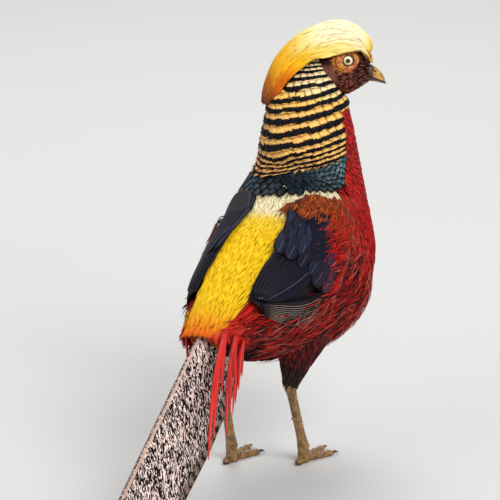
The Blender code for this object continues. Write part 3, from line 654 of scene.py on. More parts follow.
def bodyTint(at, angle, seed):
    side = np.abs(angle)
    red = mix(paint["crimson"], paint["scarlet"], ease(0.15, 0.85, seed))
    flank = mix(paint["maroon"], paint["crimson"], ease(0.25, 0.6, seed))
    flank = mix(flank, paint["scarlet"], ease(0.7, 0.8, seed))
    flank = mix(flank, paint["coral"], ease(0.93, 0.97, seed) * 0.8)
    tint = mix(red, flank, ease(4.9, 4.0, at) * ease(50, 80, side))
    shoulder = ease(4.1, 4.3, at) * ease(5.5, 5.2, at) * ease(86, 62, side)
    tint = mix(tint, mix(paint["rust"], paint["scarlet"], seed * 0.7), shoulder)
    vent = ease(2.3, 1.7, at) * ease(108, 130, side)
    tint = mix(tint, mix(paint["black"], paint["maroon"], seed * 0.5), vent)
    patch = ease(1.5, 1.2, at) * ease(132, 112, side)
    tint = mix(tint, mix(paint["scarlet"], paint["coral"], seed * 0.5), patch)
    back = mix(paint["orange"], paint["yellow"], ease(0.7, 1.9, at))
    back = mix(mix(paint["scarlet"], paint["orange"], 0.55), back, ease(0.4, 0.9, at))
    back = mix(back, paint["lemon"], ease(3.6, 4.7, at) * 0.8)
    back = mix(back, mix(back, paint["orange"], 0.12), ease(0.75, 0.95, seed))
    edge = np.interp(at, *plumageEdges["back"]) + 34 * (angle > 0) * ease(1.8, 1.2, at)
    tint = mix(tint, back, ease(edge + 4, edge - 3, side))
    edge = np.interp(side, *plumageEdges["cream"])
    collar = ease(edge - 0.2, edge + 0.15, at) * ease(60, 50, side) * ease(7.2, 6.8, at)
    return mix(tint, paint["cream"], collar)


def neckTint(at, angle, seed):
    side = np.abs(angle)
    tint = bodyTint(np.minimum(at, 6.9), angle, seed)
    tint = mix(tint, paint["gold"], ease(6.8, 7.1, at) * ease(80, 70, side))
    return mix(tint, mix(paint["brown"], paint["maroon"], seed), ease(9.6, 10.4, at) * ease(95, 115, side))


# ---- skin ----
skinForm = {"voxel": 0.0022, "smooth": 4, "thighSink": 1.5}
legForm = {
    "hock": {"left": (-52, 23, 66), "right": (-35, -26, 66)},
    "ankle": {"left": (-34, 24, 12), "right": (-12.5, -27, 12)},
    "top": {"left": (-30, 25, 112), "right": (-17, -28.5, 112)},
    "thigh": ((0, 24), (0.3, 19.5), (0.6, 12.5), (0.85, 7.6), (1, 5.4)),
}


def thighPlace(word):
    top, hock = (np.array(legForm[k][word], float) for k in ("top", "hock"))
    way = unit(hock - top)
    up = unit(np.cross(way, (0.0, 1.0, 0.0)))
    left = np.cross(up, way)
    shares, radii = np.array(legForm["thigh"]).T

    def place(at, angle):
        at, angle = np.broadcast_arrays(np.asarray(at, float), np.asarray(angle, float))
        radius = np.interp(at / 10, shares, radii)
        return ovalPoint(top + (hock - top) * (at / 10)[..., None], left, up, radius, radius, radius, angle)

    return place


def makeSkin():
    shape = bmesh.new()
    depth = bodyForm["coatDepth"]
    loftRings(shape, [ringOf(bodyPlace, at, 56, -depth) for at in np.linspace(0.36, 11.98, 64)])
    loftRings(shape, [ringOf(skullPlace, at, 40, -0.9) for at in np.linspace(0, 7, 26)])
    loftRings(shape, [ringOf(crestPlace, at, 32, -1.2) for at in np.linspace(0, 5, 16)])
    for word in bothSides:
        rings = [ringOf(thighPlace(word), at, 24, -skinForm["thighSink"]) for at in np.linspace(0, 9.9, 14)]
        loftRings(shape, rings)
    bmesh.ops.recalc_face_normals(shape, faces=shape.faces)
    toWorld(shape)
    rough = bpy.data.meshes.new("skinRough")
    shape.to_mesh(rough)
    shape.free()
    holder = bpy.data.objects.new("skinRough", rough)
    bpy.context.scene.collection.objects.link(holder)
    remesh = holder.modifiers.new("one", "REMESH")
    remesh.mode = "VOXEL"
    remesh.voxel_size = skinForm["voxel"]
    ready = holder.evaluated_get(bpy.context.evaluated_depsgraph_get())
    mesh = bpy.data.meshes.new_from_object(ready)
    bpy.data.objects.remove(holder, do_unlink=True)
    shape = bmesh.new()
    shape.from_mesh(mesh)
    for _ in range(skinForm["smooth"]):
        bmesh.ops.smooth_vert(
            shape, verts=shape.verts, factor=0.5, use_axis_x=True, use_axis_y=True, use_axis_z=True)
    shape.to_mesh(mesh)
    shape.free()
    mesh.name = "skin"
    paintSkin(mesh)
    mesh.shade_smooth()
    covered = ("torso", "rump", "neck", "head", "thigh_left", "thigh_right")
    return addPiece("skin", mesh, skinMaterial(), "torso", covered)


def gridOf(low, high, count, turn):  # stations and angles all over a form
    return (k.ravel() for k in np.meshgrid(np.linspace(low, high, count), np.arange(-180.0, 180.0, turn)))


def paintSkin(mesh):  # the skin takes the markings of the nearest place on the body, head or thigh
    at, angle = gridOf(0.36, 11.9, 110, 5)
    spots, tones = [bodyPlace(at, angle)], [neckTint(at, angle, np.full(at.shape, 0.45))]
    for place, tint, grid in ((skullPlace, faceTint, (0, 7, 40, 6)), (crestPlace, crestTint, (0, 5, 30, 8))):
        spots.append(place(*gridOf(*grid)))
        tones.append(tint(spots[-1], np.full(len(spots[-1]), 0.5)))
    for word in bothSides:
        spots.append(thighPlace(word)(*gridOf(1.5, 10, 16, 15)))
        tones.append(np.broadcast_to(paint["maroon"], spots[-1].shape))
    spots, tones = np.concatenate(spots) * mm + modelShift, np.concatenate(tones)
    tree = KDTree(len(spots))
    for k, spot in enumerate(spots):
        tree.insert(spot, k)
    tree.balance()
    found = np.array([tree.find(vert.co)[1] for vert in mesh.vertices])
    tone = np.concatenate([np.clip(tones[found], 0, 1), np.ones((len(found), 1))], 1)
    mesh.attributes.new("Tint", "FLOAT_COLOR", "POINT").data.foreach_set("color", tone.ravel())


def skinMaterial():
    material, tree = newMaterial("plumageSkin", 0.7)
    tint = attribute(tree, "Tint", "Color")
    noise = noiseOf(tree, 700.0, Detail=3.0)
    tone = blend(band(noise, 0.35, 0.65), darker(tint, (0.35, 0.3, 0.3)), tint)
    return finish(material, tone, noise, 0.5, 0.0006)


# ---- head colours ----
def headCoords(spots):
    away = spots - np.array(headForm["middle"], float)
    return away @ headAhead, away @ headLeft, away @ headUp


def crestTint(spots, seed):
    forward, _, up = headCoords(spots)
    line = np.array(headForm["crest"])
    topUp = np.interp(forward, line[::-1, 0], (line[:, 1] + line[:, 4])[::-1])
    below = ease(-1, 13, topUp - up)
    away = np.sqrt((forward + 2) ** 2 + (up - 24) ** 2 * 0.7)
    warm = np.interp(away, (8, 22, 34, 50, 68), (0.0, 0.16, 0.42, 0.78, 1.1))
    warm = warm + 0.34 * below + 0.2 * (seed - 0.5) + 0.4 * ease(10, 18, forward) * ease(26, 16, up)
    tint = mix(paint["cream"], mix(paint["lemon"], paint["cream"], 0.3), ease(0.1, 0.45, warm))
    tint = mix(tint, mix(paint["yellow"], paint["gold"], 0.45), ease(0.4, 0.8, warm))
    tint = mix(tint, paint["orange"], ease(0.82, 1.3, warm))
    tint = mix(tint, paint["rust"], ease(2, 26, -up) * ease(49, 60, -forward) * 0.75)
    return mix(tint, paint["maroon"], ease(22, 38, -up) * ease(50, 58, -forward) * (0.5 + 0.5 * seed))


def faceTint(spots, seed):
    forward, _, up = headCoords(spots)
    dark = mix(paint["maroon"], paint["black"], 0.5)
    tint = mix(dark, mix(paint["pink"], paint["rust"], 0.6) * 0.8, ease(0.5, 0.75, seed))
    ear = ease(-4.5, -8.0, forward) * ease(-22, -17, up)
    tint = mix(tint, mix(paint["pink"], paint["brown"], 0.35 + 0.4 * seed), ear * 0.85)
    spotty = ease(-8.5, -11, forward) * ease(-6.5, -2.5, up)
    tint = mix(tint, dark, spotty)
    throat = ease(-17, -21, up)
    tint = mix(tint, mix(dark, paint["rust"], ease(0.6, 0.8, seed)), throat)
    around = np.sqrt(forward**2 + up**2)
    tint = mix(tint, mix(paint["gold"], paint["coral"], 0.35) * 0.8, ease(10.0, 8.2, around))
    brow = ease(6.8, 9.0, up) * ease(-12, -6, forward)
    return mix(tint, mix(paint["gold"], paint["yellow"], 0.4), brow)


makeSkin()
print("skin ready")

# ---- body coat ----
coat = {
    "soft": {"lines": 9.0, "deep": (0.5, 0.4, 0.4), "rootDark": (0.1, 0.5), "contrast": 0.5,
             "streakTint": (0.55, 0.4, 0.4), "bump": 0.4},
    "back": {"lines": 7.0, "deep": (0.97, 0.85, 0.6), "rootDark": (0.05, 0.4), "contrast": 0.25,
             "streakTint": (0.97, 0.8, 0.5), "bump": 0.25},
    # space between rows, space in a row, length, half width, waywardness, rise from root to tip
    "neck": (3.0, 2.3, 11, 1.75, 0.1, (-0.5, 1.3, 2.4, 3.1, 3.4)),
    "breast": (3.1, 2.4, 13, 1.85, 0.12, (-0.5, 1.3, 2.5, 3.3, 3.7)),
    "golden": (2.7, 1.75, 21, 1.05, 0.07, (-0.5, 1.0, 1.9, 2.6, 3.0)),
    "flank": (3.0, 1.95, 20, 1.0, 0.24, (-0.5, 1.3, 2.8, 3.9, 4.6)),
    "belly": (3.2, 2.3, 18, 1.3, 0.2, (-0.5, 1.2, 2.5, 3.5, 4.2)),
}
quillShape = (0.35, 0.85, 1.0, 0.75, 0.1)
# stations and angles of the border between the yellow back and the red sides
backBorder = ((0.35, 1.2, 2.2, 4, 5.3), (54, 60, 44, 42, 34))


def coatPuff(at, angle):  # where the plumage stands fuller than the body under it
    side = np.abs(angle)
    return 3.4 * ease(4.9, 4.2, at) * ease(2.4, 3.2, at) * ease(98, 122, side) * ease(170, 150, side)


def wingHides(at, angle):
    across = wingAcross(at, angle)
    return (at > 1.75) & (at < 4.2) & (across > -0.7) & (across < 0.72)


def layCoat(at, angle, tints, kind, place=bodyPlace, way=-1, depth=bodyForm["coatDepth"], scale=1.0):
    _, _, length, half, drift, lifts = kind
    count, rows = len(at), len(quillShape)
    length = length * scale * chance.uniform(0.85, 1.15, count)
    spots, outs, ats, angles = walk(place, at, angle, length, rows, way, chance.normal(0, drift, count))
    rise = np.array(lifts)[None] - depth + chance.uniform(-0.25, 0.45, (count, 1)) * np.linspace(0, 1, rows)
    if place is bodyPlace:
        rise = rise + coatPuff(ats, angles) * np.linspace(0.3, 1, rows)
    widths = (half * chance.uniform(0.85, 1.2, count))[:, None] * np.array(quillShape)[None]
    return layBlades(spots, outs, widths, tints, bodyUnwrap(at, angle), rise, crown=0.2, thick=0.3)


def makeBodyCoat():
    backMaterial = softPlume("goldenBackPlume", coat["back"])
    zones = ("neck", "breast", "golden", "flank", "belly")
    for name in zones:
        kind = coat[name]
        at, angle = rowsOfRoots(bodyPlace, 11.3 if name == "neck" else 7.0, 0.42, kind[0], kind[1])
        side = np.abs(angle)
        back = (side < np.interp(at, *backBorder)) & (at < 5.8)
        lower = np.where(at > 6.6, 0, np.where(at > 4.3, 1, np.where(side < 128, 3, 4)))
        keep = (np.where(back, 2, lower) == zones.index(name)) & ~wingHides(at, angle)
        for station, underCape in ((6.3, 74), (7.3, 92), (8.4, 112)):
            keep &= ~((at > station) & (side < underCape))
        at, angle = at[keep], angle[keep]
        tints = neckTint(at, angle, chance.uniform(0, 1, len(at)))
        scale = np.ones(len(at))
        if name == "golden":  # shorter at the collar, and not past the rump's end
            room = (np.maximum(at - 0.42, 0) * 28 + 13) / kind[2]
            scale = np.minimum(np.interp(at, (0.4, 2, 4, 5.6), (1.1, 1.05, 0.9, 0.6)), room)
        if name in ("belly", "flank"):
            scale = np.interp(at, (0.4, 1.2), (0.45, 1))
        batch = layCoat(at, angle, tints, kind, scale=scale)
        material = backMaterial if name == "golden" else scarletPlume
        bladePiece(f"coat_{name}", [batch], material, {"neck": "neck", "golden": "rump"}.get(name, "torso"))


def overWing(ats, angles):  # 1 where a wing lies underneath
    return ease(1.25, 0.95, np.abs(wingAcross(ats, angles))) * ease(5.4, 5.0, ats) * ease(1.5, 1.8, ats)


def layLoose(name, kind, at, angle, tints, length, drift, raised):  # feathers that stand off the coat
    count, s = len(at), np.linspace(0, 1, kind["rows"])
    spots, outs, ats, angles = walk(bodyPlace, at, angle, length, kind["rows"], -1, drift)
    lift = np.interp(s, (0, 0.3, 1), kind["lifts"])[None] + chance.uniform(*kind["stray"], (count, 1)) * s
    widths = kind["half"] * np.interp(s, *kind["shape"])[None] * chance.uniform(*kind["widths"], (count, 1))
    lift = lift + raised(ats, angles, s)
    roots = bodyUnwrap(at, angle)
    batch = layBlades(spots, outs, widths, tints, roots, lift, crown=kind["crown"], thick=0.25)
    bladePiece(name, [batch], scarletPlume, "torso")


tuftShape = ((0, 0.25, 0.6, 1), (0.4, 1, 0.85, 0.12))
strands = {
    "count": 1500, "edgeCount": 260, "length": 27, "half": 0.5, "rows": 10, "lifts": (-1.5, 1.6, 3.4),
    "stray": (-0.3, 1.2), "widths": (0.7, 1.2), "crown": 0.3,
    "shape": ((0, 0.2, 0.7, 1), (0.5, 1, 0.8, 0.15)),
}


def makeStrands():  # long loose hairs over the flanks, and over the wings' lower edges
    count = strands["count"]
    at = chance.uniform(1.7, 4.9, count)
    angle = chance.uniform(78, 150, count) * np.where(chance.uniform(0, 1, count) < 0.62, -1, 1)
    keep = ~wingHides(at, angle)
    at, angle = at[keep], angle[keep]
    edge = chance.uniform(2.1, 4.7, strands["edgeCount"])
    middle, turn = wingReach(edge)
    edgeSide = np.where(np.arange(len(edge)) % 2, -1, 1)
    edgeAngle = (middle + turn * chance.uniform(0.9, 1.12, len(edge))) * edgeSide
    onWing = np.concatenate([np.zeros(len(at)), np.ones(len(edge))])
    at, angle = np.concatenate([at, edge]), np.concatenate([angle, edgeAngle])
    count = len(at)
    pick = chance.uniform(0, 1, count)
    tints = mix(paint["black"], paint["maroon"], ease(0.0, 0.35, pick))
    tints = mix(tints, paint["scarlet"], ease(0.35, 0.5, pick))
    tints = mix(tints, paint["pink"], ease(0.78, 0.84, pick) * 0.8)
    drift = chance.normal(0, 0.3, count) + np.sign(angle) * onWing * 0.25
    length = strands["length"] * chance.uniform(0.6, 1.2, count)

    def raised(ats, angles, s):
        return coatPuff(ats, angles) + 4.6 * onWing[:, None] * np.interp(s, (0, 0.25, 1), (0.3, 1, 0.8))

    layLoose("flankStrands", strands, at, angle, tints, length, drift, raised)


wingFold = {
    # stations and angles of the right wing's lower edge, the left one's drop, and the width of the band
    "edge": ((2.56, 2.96, 3.12, 3.5, 3.78, 3.96, 4.3, 5.3), (102, 98, 88, 71, 58, 50, 46, 44)),
    "leftDrop": 34, "wide": 24,
    "gaps": (2.5, 1.9), "length": 19, "half": 0.85, "rows": 8, "lifts": (-1.0, 1.2, 2.6),
    "stray": (-0.2, 1.0), "shape": tuftShape, "widths": (0.8, 1.3), "crown": 0.2,
}


def makeWingFold():  # breast and flank feathers that close over the wings' lower edges
    at, angle = rowsOfRoots(bodyPlace, 5.3, 2.6, *wingFold["gaps"])
    side = np.abs(angle)
    inner = np.interp(at, *wingFold["edge"]) + wingFold["leftDrop"] * (angle > 0)
    keep = (side > inner + chance.uniform(-2, 2, len(at))) & (side < inner + wingFold["wide"])
    at, angle = at[keep], angle[keep]
    count = len(at)
    seed = chance.uniform(0, 1, count)
    tints = mix(paint["maroon"], paint["crimson"], ease(0.1, 0.35, seed))
    tints = mix(tints, paint["scarlet"], ease(0.45, 0.7, seed))
    tints = mix(tints, paint["pink"], ease(0.93, 0.97, seed) * 0.7)
    tints = mix(tints, mix(paint["rust"], paint["scarlet"], seed), ease(4.2, 4.9, at) * 0.8)
    drift = chance.normal(0, 0.2, count) - np.sign(angle) * 0.16
    length = wingFold["length"] * chance.uniform(0.75, 1.2, count)

    def raised(ats, angles, s):
        return 6.0 * overWing(ats, angles) + coatPuff(ats, angles)

    layLoose("wingFoldFeathers", wingFold, at, angle, tints, length, drift, raised)


scapulars = {
    "gaps": (2.2, 2.0), "length": 15, "half": 1.35, "rows": 8, "lifts": (-1.5, 1.0, 2.4),
    "stray": (-0.2, 0.7), "shape": tuftShape, "widths": (0.8, 1.25), "crown": 0.2,
    # angles and stations of the patch's upper and lower edges, and how far down each side it starts and ends
    "upper": ((9, 17, 38, 66, 84), (4.62, 5.0, 5.62, 6.3, 6.4)),
    "lower": ((9, 24, 41, 48, 59, 84), (4.42, 4.38, 4.42, 4.7, 5.2, 5.6)),
    "start": {"right": 9, "left": 60}, "end": 84,
}


def makeScapulars():  # fine rust-red feathers from under the mantle over the shoulder of each wing
    at, angle = rowsOfRoots(bodyPlace, 6.4, 4.2, *scapulars["gaps"])
    side, onRight = np.abs(angle), angle < 0
    start = np.where(onRight, scapulars["start"]["right"], scapulars["start"]["left"])
    keep = (side > start + chance.uniform(-2, 2, len(at))) & (side < scapulars["end"])
    keep &= (at < np.interp(side, *scapulars["upper"])) & (at > np.interp(side, *scapulars["lower"]))
    at, angle, side, onRight = at[keep], angle[keep], side[keep], onRight[keep]
    count = len(at)
    seed = chance.uniform(0, 1, count)
    tints = mix(paint["rust"], paint["orange"], 0.45 * ease(0.4, 0.9, seed))
    tints = mix(tints, paint["brown"], ease(0.3, 0.0, seed) * 0.8)
    red = mix(paint["crimson"], paint["scarlet"], seed)
    tints = mix(tints, red, ease(48, 70, side + 26 * (seed - 0.5)))
    length = scapulars["length"] * chance.uniform(0.75, 1.15, count)
    drift = chance.normal(0, 0.22, count)

    def raised(ats, angles, s):  # nearly flat on the left, where the wing's top is bare
        return 6.2 * overWing(ats, angles) * np.where(onRight, 1, 0.3)[:, None]

    layLoose("scapularFeathers", scapulars, at, angle, tints, length, drift, raised)


scarletPlume = softPlume("scarletPlume", coat["soft"])
makeBodyCoat()
makeStrands()
makeWingFold()
makeScapulars()
print("body coat ready")

# ---- thighs ----
thigh = {
    "kind": (3.0, 2.3, 14, 1.2, 0.1, (-0.6, 0.8, 1.3, 1.6, 1.8)), "depth": 1.5,
    "unwrapShare": 0.25, "unwrapAt": {"left": 0.3, "right": 0.65},
}


def makeThighCoat(word):
    place, kind = thighPlace(word), thigh["kind"]
    at, angle = rowsOfRoots(place, 0.4, 9.3, kind[0], kind[1])
    seed = chance.uniform(0, 1, len(at))
    tints = mix(paint["maroon"], paint["crimson"], ease(0.55, 0.9, seed))
    tints = mix(tints, mix(paint["black"], paint["brown"], seed * 0.35), ease(3.5, 7, at))
    scale = np.interp(at, (0, 6, 10), (1.0, 0.75, 0.45))
    batch = layCoat(at, angle, tints, kind, place, 1, thigh["depth"], scale)
    batch["uv"] = batch["uv"] * thigh["unwrapShare"] + thigh["unwrapAt"][word]
    bladePiece(f"coatThigh_{word}", [batch], scarletPlume, f"thigh_{word}")


for word in bothSides:
    makeThighCoat(word)
print("thighs ready")

# ---- cape and mantle ----
cape = {
    # stations of the dark bars on the side of the neck, from the lowest up to the nape
    "bars": (6.7, 7.08, 7.3, 7.55, 7.8, 8.12, 8.57, 9.04, 9.44, 9.8, 10.28, 10.66, 11.0, 11.3, 11.6, 11.9,
             12.2),
    "rows": 10, "columns": 5, "tipBelowBar": 0.29, "around": 160,
    # stations, with half widths, lengths and how full the feathers stand there
    "half": ((7, 9, 11, 11.8), (6.6, 5.6, 4.0, 3.0)), "length": ((7, 9, 11.8), (26, 21, 12)),
    "full": ((7, 8, 9.5, 11, 11.8), (1.1, 1.3, 1.1, 0.55, 0.4)),
    "shape": ((0, 0.35, 0.6, 0.9, 0.97, 1), (0.5, 0.85, 1.0, 1.0, 0.95, 0.82)),
    # how far each bar climbs from the nape round to the throat
    "tiltLevels": (7.04, 7.88, 8.4, 8.87, 9.87, 11.2), "tiltAngles": (0, 15, 44, 61, 85, 116, 140, 175),
    "nape": 15,
    "tilts": (
        (-1.2, -1.0, 0.0, 0.25, 0.55, 0.78, 0.9, 0.95), (-0.55, -0.48, -0.13, 0, 0.17, 0.38, 0.5, 0.6),
        (-0.38, -0.32, -0.16, -0.05, 0.1, 0.27, 0.4, 0.5), (-0.3, -0.25, -0.18, -0.08, 0.03, 0.2, 0.28, 0.36),
        (-0.22, -0.19, -0.15, -0.11, -0.03, 0.1, 0.16, 0.21), (0, 0, 0, 0, 0, 0, 0, 0),
    ),
    # stations and angles where the cape's front edge runs
    "front": ((5.6, 6.6, 7.4, 7.86, 8.04, 8.4, 8.78, 8.98, 9.2, 10.2, 11.8),
              (88, 92, 96, 99, 105, 116, 129, 143, 156, 150, 134)),
}


def capeTilt(level, angle):
    turn = np.abs(angle - cape["nape"])
    rows = np.stack([np.interp(turn, cape["tiltAngles"], row) for row in cape["tilts"]])
    place = np.minimum(np.interp(level, cape["tiltLevels"], np.arange(len(rows))), len(rows) - 1.001)
    low = np.floor(place).astype(int)
    below, above = (np.take_along_axis(rows, low[None] + k, 0)[0] for k in (0, 1))
    return below + (above - below) * (place - low)


def capeLevel(at, angle):  # the station on the side of the neck whose bar passes here
    level = at
    for _ in range(4):
        level = level + 0.7 * (at - capeTilt(level, angle) - level)
    return level


def tipPath(tipAt, angle, length, rows):  # paths that end at given stations of the body
    speed = np.linalg.norm(bodyPlace(tipAt + 0.1, angle) - bodyPlace(tipAt - 0.1, angle), axis=-1) / 0.2
    ats = tipAt[:, None] + (1 - np.linspace(0, 1, rows)) * (length / np.maximum(speed, 8))[:, None]
    spots, outs = surface(bodyPlace, ats, np.broadcast_to(angle[:, None], ats.shape))
    return spots, outs, ats


def capePhase(at, angle):  # whole numbers at the dark bars
    return np.interp(capeLevel(at, angle), cape["bars"], np.arange(len(cape["bars"])))


def nearestPlace(points, at, angle):  # settle on the station and angle under each point
    for _ in range(2):
        spot = bodyPlace(at, angle)
        alongWay = (bodyPlace(at + 0.02, angle) - bodyPlace(at - 0.02, angle)) / 0.04
        roundWay = (bodyPlace(at, angle + 1) - bodyPlace(at, angle - 1)) / 2
        miss = points - spot
        aa, ar, rr = np.sum(alongWay**2, -1), np.sum(alongWay * roundWay, -1), np.sum(roundWay**2, -1)
        am, rm = np.sum(alongWay * miss, -1), np.sum(roundWay * miss, -1)
        scale = np.maximum(aa * rr - ar**2, 1e-3)
        at = np.clip(at + np.clip((am * rr - rm * ar) / scale, -0.5, 0.5), 1, 11.9)
        angle = angle + np.clip((rm * aa - am * ar) / scale, -15, 15)
    return at, angle


def makeCape():
    batches = []
    bars, rows, around = np.array(cape["bars"]), cape["rows"], cape["around"]
    corners = 2 * cape["columns"] - 2
    s = np.linspace(0, 1, rows)
    for k in range(1, len(bars) - 1):
        level = np.interp(k - cape["tipBelowBar"], np.arange(len(bars)), bars)
        half = np.interp(level, *cape["half"])
        ring = between(bodyForm["line"], level)[5] + 3
        count = int(math.radians(around) * 2 * ring / (half * 1.25))
        angle = np.linspace(-around, around, count) + (k % 2) * around / count
        angle = angle + chance.uniform(-1.5, 1.5, count)
        tip = level + capeTilt(np.full(count, level), angle) + chance.normal(0, 0.008, count)
        keep = np.abs(angle) < np.interp(tip, *cape["front"])
        angle, tip, count = angle[keep], tip[keep], int(keep.sum())
        length = np.interp(level, *cape["length"]) * chance.uniform(0.95, 1.05, count)
        spots, outs, ats = tipPath(tip, angle, length, rows)
        lifts = 1.0 - bodyForm["coatDepth"] + np.interp(level, *cape["full"]) * 4.6 * s**0.85
        pale = ease(9.0, 11.0, ats + 0.5 * ease(60, 130, np.abs(angle))[:, None])
        warm = mix(paint["gold"], paint["yellow"], chance.uniform(0.2, 0.7, (count, 1)) * np.ones_like(ats))
        warm = mix(warm, paint["cream"], 0.34)
        tints = mix(mix(warm, paint["lemon"], 0.75 * pale), paint["cream"], 0.9 * ease(0.35, 1.0, pale))
        tints = mix(tints, paint["pink"], ease(7.7, 7.2, ats) * chance.uniform(0, 0.6, (count, 1)))
        widths = half * np.interp(s, *cape["shape"])[None] * chance.uniform(0.95, 1.08, (count, 1))
        batch = layBlades(spots, outs, widths, tints, bodyUnwrap(tip, angle), lifts, crown=0.05, thick=0.3,
                          columns=cape["columns"])
        at, turn = np.repeat(ats.ravel(), corners), np.repeat(angle, corners * rows)
        batch["mark"] = batch["mark"].copy()
        batch["mark"][:, 0] = capePhase(*nearestPlace(batch["points"], at, turn))
        batches.append(batch)
    bladePiece("capeFeathers", batches, capeMaterial(), "neck")


def capeMaterial():
    material, tree = newMaterial("barredCape", 0.55, specular=0.12)
    tint, streak, _, _, _, seed = plumage(tree, 16.0, 0.3)
    phase = split(attribute(tree, "Mark"))[0]
    place = (phase + (seed - 0.5) * 0.2 + (streak - 0.5) * 0.1 + 20.5).calc("FRACT")
    ground = blend(band(place, 0.98, 0.7) * 0.45, tint, darker(tint, (0.85, 0.5, 0.2)))
    ground = blend(streak * 0.3, ground, darker(ground, (0.8, 0.6, 0.4)))
    bar = inside(abs(place - 0.5), 0.235, 0.27)
    return finish(material, blend(bar, ground, (0.005, 0.004, 0.007)), streak)


mantle = {
    "tiers": 5, "step": 0.36, "gap": 6.0, "length": 26, "half": 4.6, "rows": 9, "middle": 11, "end": 97,
    # angles from the middle and stations of the lower edge
    "lower": ((0, 14, 28, 49, 76, 88, 98, 110), (4.62, 4.7, 5.04, 5.62, 6.28, 6.85, 7.25, 7.5)),
    "shape": ((0, 0.3, 0.6, 0.85, 1), (0.45, 0.85, 1.0, 0.8, 0.15)),
}


def makeMantle():
    batches = []
    s = np.linspace(0, 1, mantle["rows"])
    for tier in range(mantle["tiers"], -1, -1):
        angle = np.arange(-104, 108, math.degrees(mantle["gap"] / 48)) + (tier % 2) * 3.6
        angle = angle + chance.uniform(-1.5, 1.5, len(angle))
        lower = np.interp(np.abs(angle - mantle["middle"]), *mantle["lower"])
        underCape = 7.2 + capeTilt(np.full(len(angle), 7.2), angle)
        keep = (lower + tier * mantle["step"] * 0.4 < underCape) & (np.abs(angle) < mantle["end"])
        angle, lower, count = angle[keep], lower[keep], int(keep.sum())
        side = np.abs(angle)
        step = mantle["step"] * np.interp(side, (0, 60, 98), (1, 0.62, 0.35))
        tip = lower + tier * step + chance.normal(0, 0.035, count)
        spots, outs, _ = tipPath(tip, angle, mantle["length"] * chance.uniform(0.92, 1.08, count), len(s))
        lifts = 1.3 - bodyForm["coatDepth"] + 3.6 * s**0.8
        tints = mix(srgb(10, 20, 28), srgb(34, 62, 78), chance.uniform(0, 1, count) ** 1.4)
        tints = mix(tints, srgb(52, 120, 122), ease(58, 92, side) * chance.uniform(0, 0.8, count))
        # a pale aqua line just inside each feather's black rim is painted sheen, stronger towards the sides
        paintedSheenRim = np.minimum(ease(20, 90, side) * 1.1 * chance.uniform(0.2, 1, count), 1)
        marks = np.stack([paintedSheenRim, 0 * paintedSheenRim, 0 * paintedSheenRim], -1)
        widths = mantle["half"] * np.interp(s, *mantle["shape"])[None] * chance.uniform(0.9, 1.15, (count, 1))
        roots = bodyUnwrap(tip, angle)
        batches.append(layBlades(spots, outs, widths, tints, roots, lifts, 0.16, 0.3, columns=5, marks=marks))
    bladePiece("mantleFeathers", batches, mantleMaterial(), "neck")


def mantleMaterial():
    material, tree = newMaterial("greenMantle", 0.45, specular=0.2)
    tint, streak, plume, _, _, _ = plumage(tree, 20.0, 0.4)
    paintedSheenShare = split(attribute(tree, "Mark"))[0]
    rim, wider = rimOf(plume, 0.2), rimOf(plume, 0.36)
    ground = blend(streak * 0.7, tint, darker(tint, (0.25, 0.3, 0.45)))
    # the pale aqua line inside the black rim is painted sheen
    ground = blend(wider * (1.0 - rim) * paintedSheenShare * 0.75, ground, srgb(150, 182, 180))
    return finish(material, blend(rim, ground, (0.002, 0.002, 0.003)), streak)


makeCape()
makeMantle()
print("cape and mantle ready")

# ---- crest ----
crest = {
    "settings": {"lines": 8.0, "deep": (0.9, 0.72, 0.5), "rootDark": (0.0, 0.45), "contrast": 0.5,
                 "streakTint": (0.97, 0.84, 0.62), "bump": 0.4, "rough": 0.5},
    "rows": 10,
}


def makeCrest():
    ats, angles = [], []
    for at in np.arange(0.05, 5.4, 0.19):
        half = between(headForm["crest"], at)[3]
        count = int(18 + half * 1.7)
        angles.append(np.linspace(-129, 129, count) + chance.uniform(-4, 4, count))
        ats.append(np.full(count, at) + chance.uniform(-0.09, 0.09, count))
    at, angle = np.concatenate(ats), np.concatenate(angles)
    count, side = len(at), np.abs(np.concatenate(angles))
    length = np.interp(at, (0, 1, 2.5, 4, 5.4), (20, 30, 44, 58, 68)) * chance.uniform(0.85, 1.1, count)
    length = length * (1 - 0.2 * ease(60, 130, side))
    rows = crest["rows"]
    drift = chance.normal(0, 0.035, count)
    spots, outs, _, _ = walk(crestPlace, np.maximum(at, 0), angle, length, rows, 1, drift)
    s = np.linspace(0, 1, rows)
    rise = -2.4 + 2.0 * np.minimum(s / 0.12, 1) + 0.9 * s + chance.uniform(-0.4, 0.6, (count, 1)) * s
    spots = spots + outs * rise[..., None]
    widths = np.interp(at, (0, 3), (1.15, 1.5))[:, None] * (0.5 + 0.9 * s - 1.3 * s**4)[None] + 0.06
    widths = widths * chance.uniform(0.7, 1.25, (count, 1))
    seed = chance.uniform(0, 1, count)
    tints = crestTint(spots, np.broadcast_to(seed[:, None], (count, rows)))
    roots = np.stack([0.03 + 0.9 * (angle / 270 + 0.5), 0.03 + 0.9 * at / 6], -1)
    batch = layBlades(spots, outs, widths, tints, roots, crown=0.3, thick=0.4)
    bladePiece("crestLocks", [batch], softPlume("crestSilk", crest["settings"]), "head")


makeCrest()
print("crest ready")

# ---- face ----
face = {
    "settings": {"lines": 4.0, "deep": (0.6, 0.5, 0.5), "rootDark": (0.1, 0.6), "contrast": 0.4,
                 "streakTint": (0.6, 0.5, 0.5), "bump": 0.3},
    "patch": 8.2, "lifts": (-1.1, -0.3, 0.1, 0.35, 0.5),
    # stations, with lengths and half widths
    "length": ((0, 3, 7), (5.5, 4.2, 2.6)), "half": ((0, 3, 7), (0.85, 0.62, 0.42)),
}


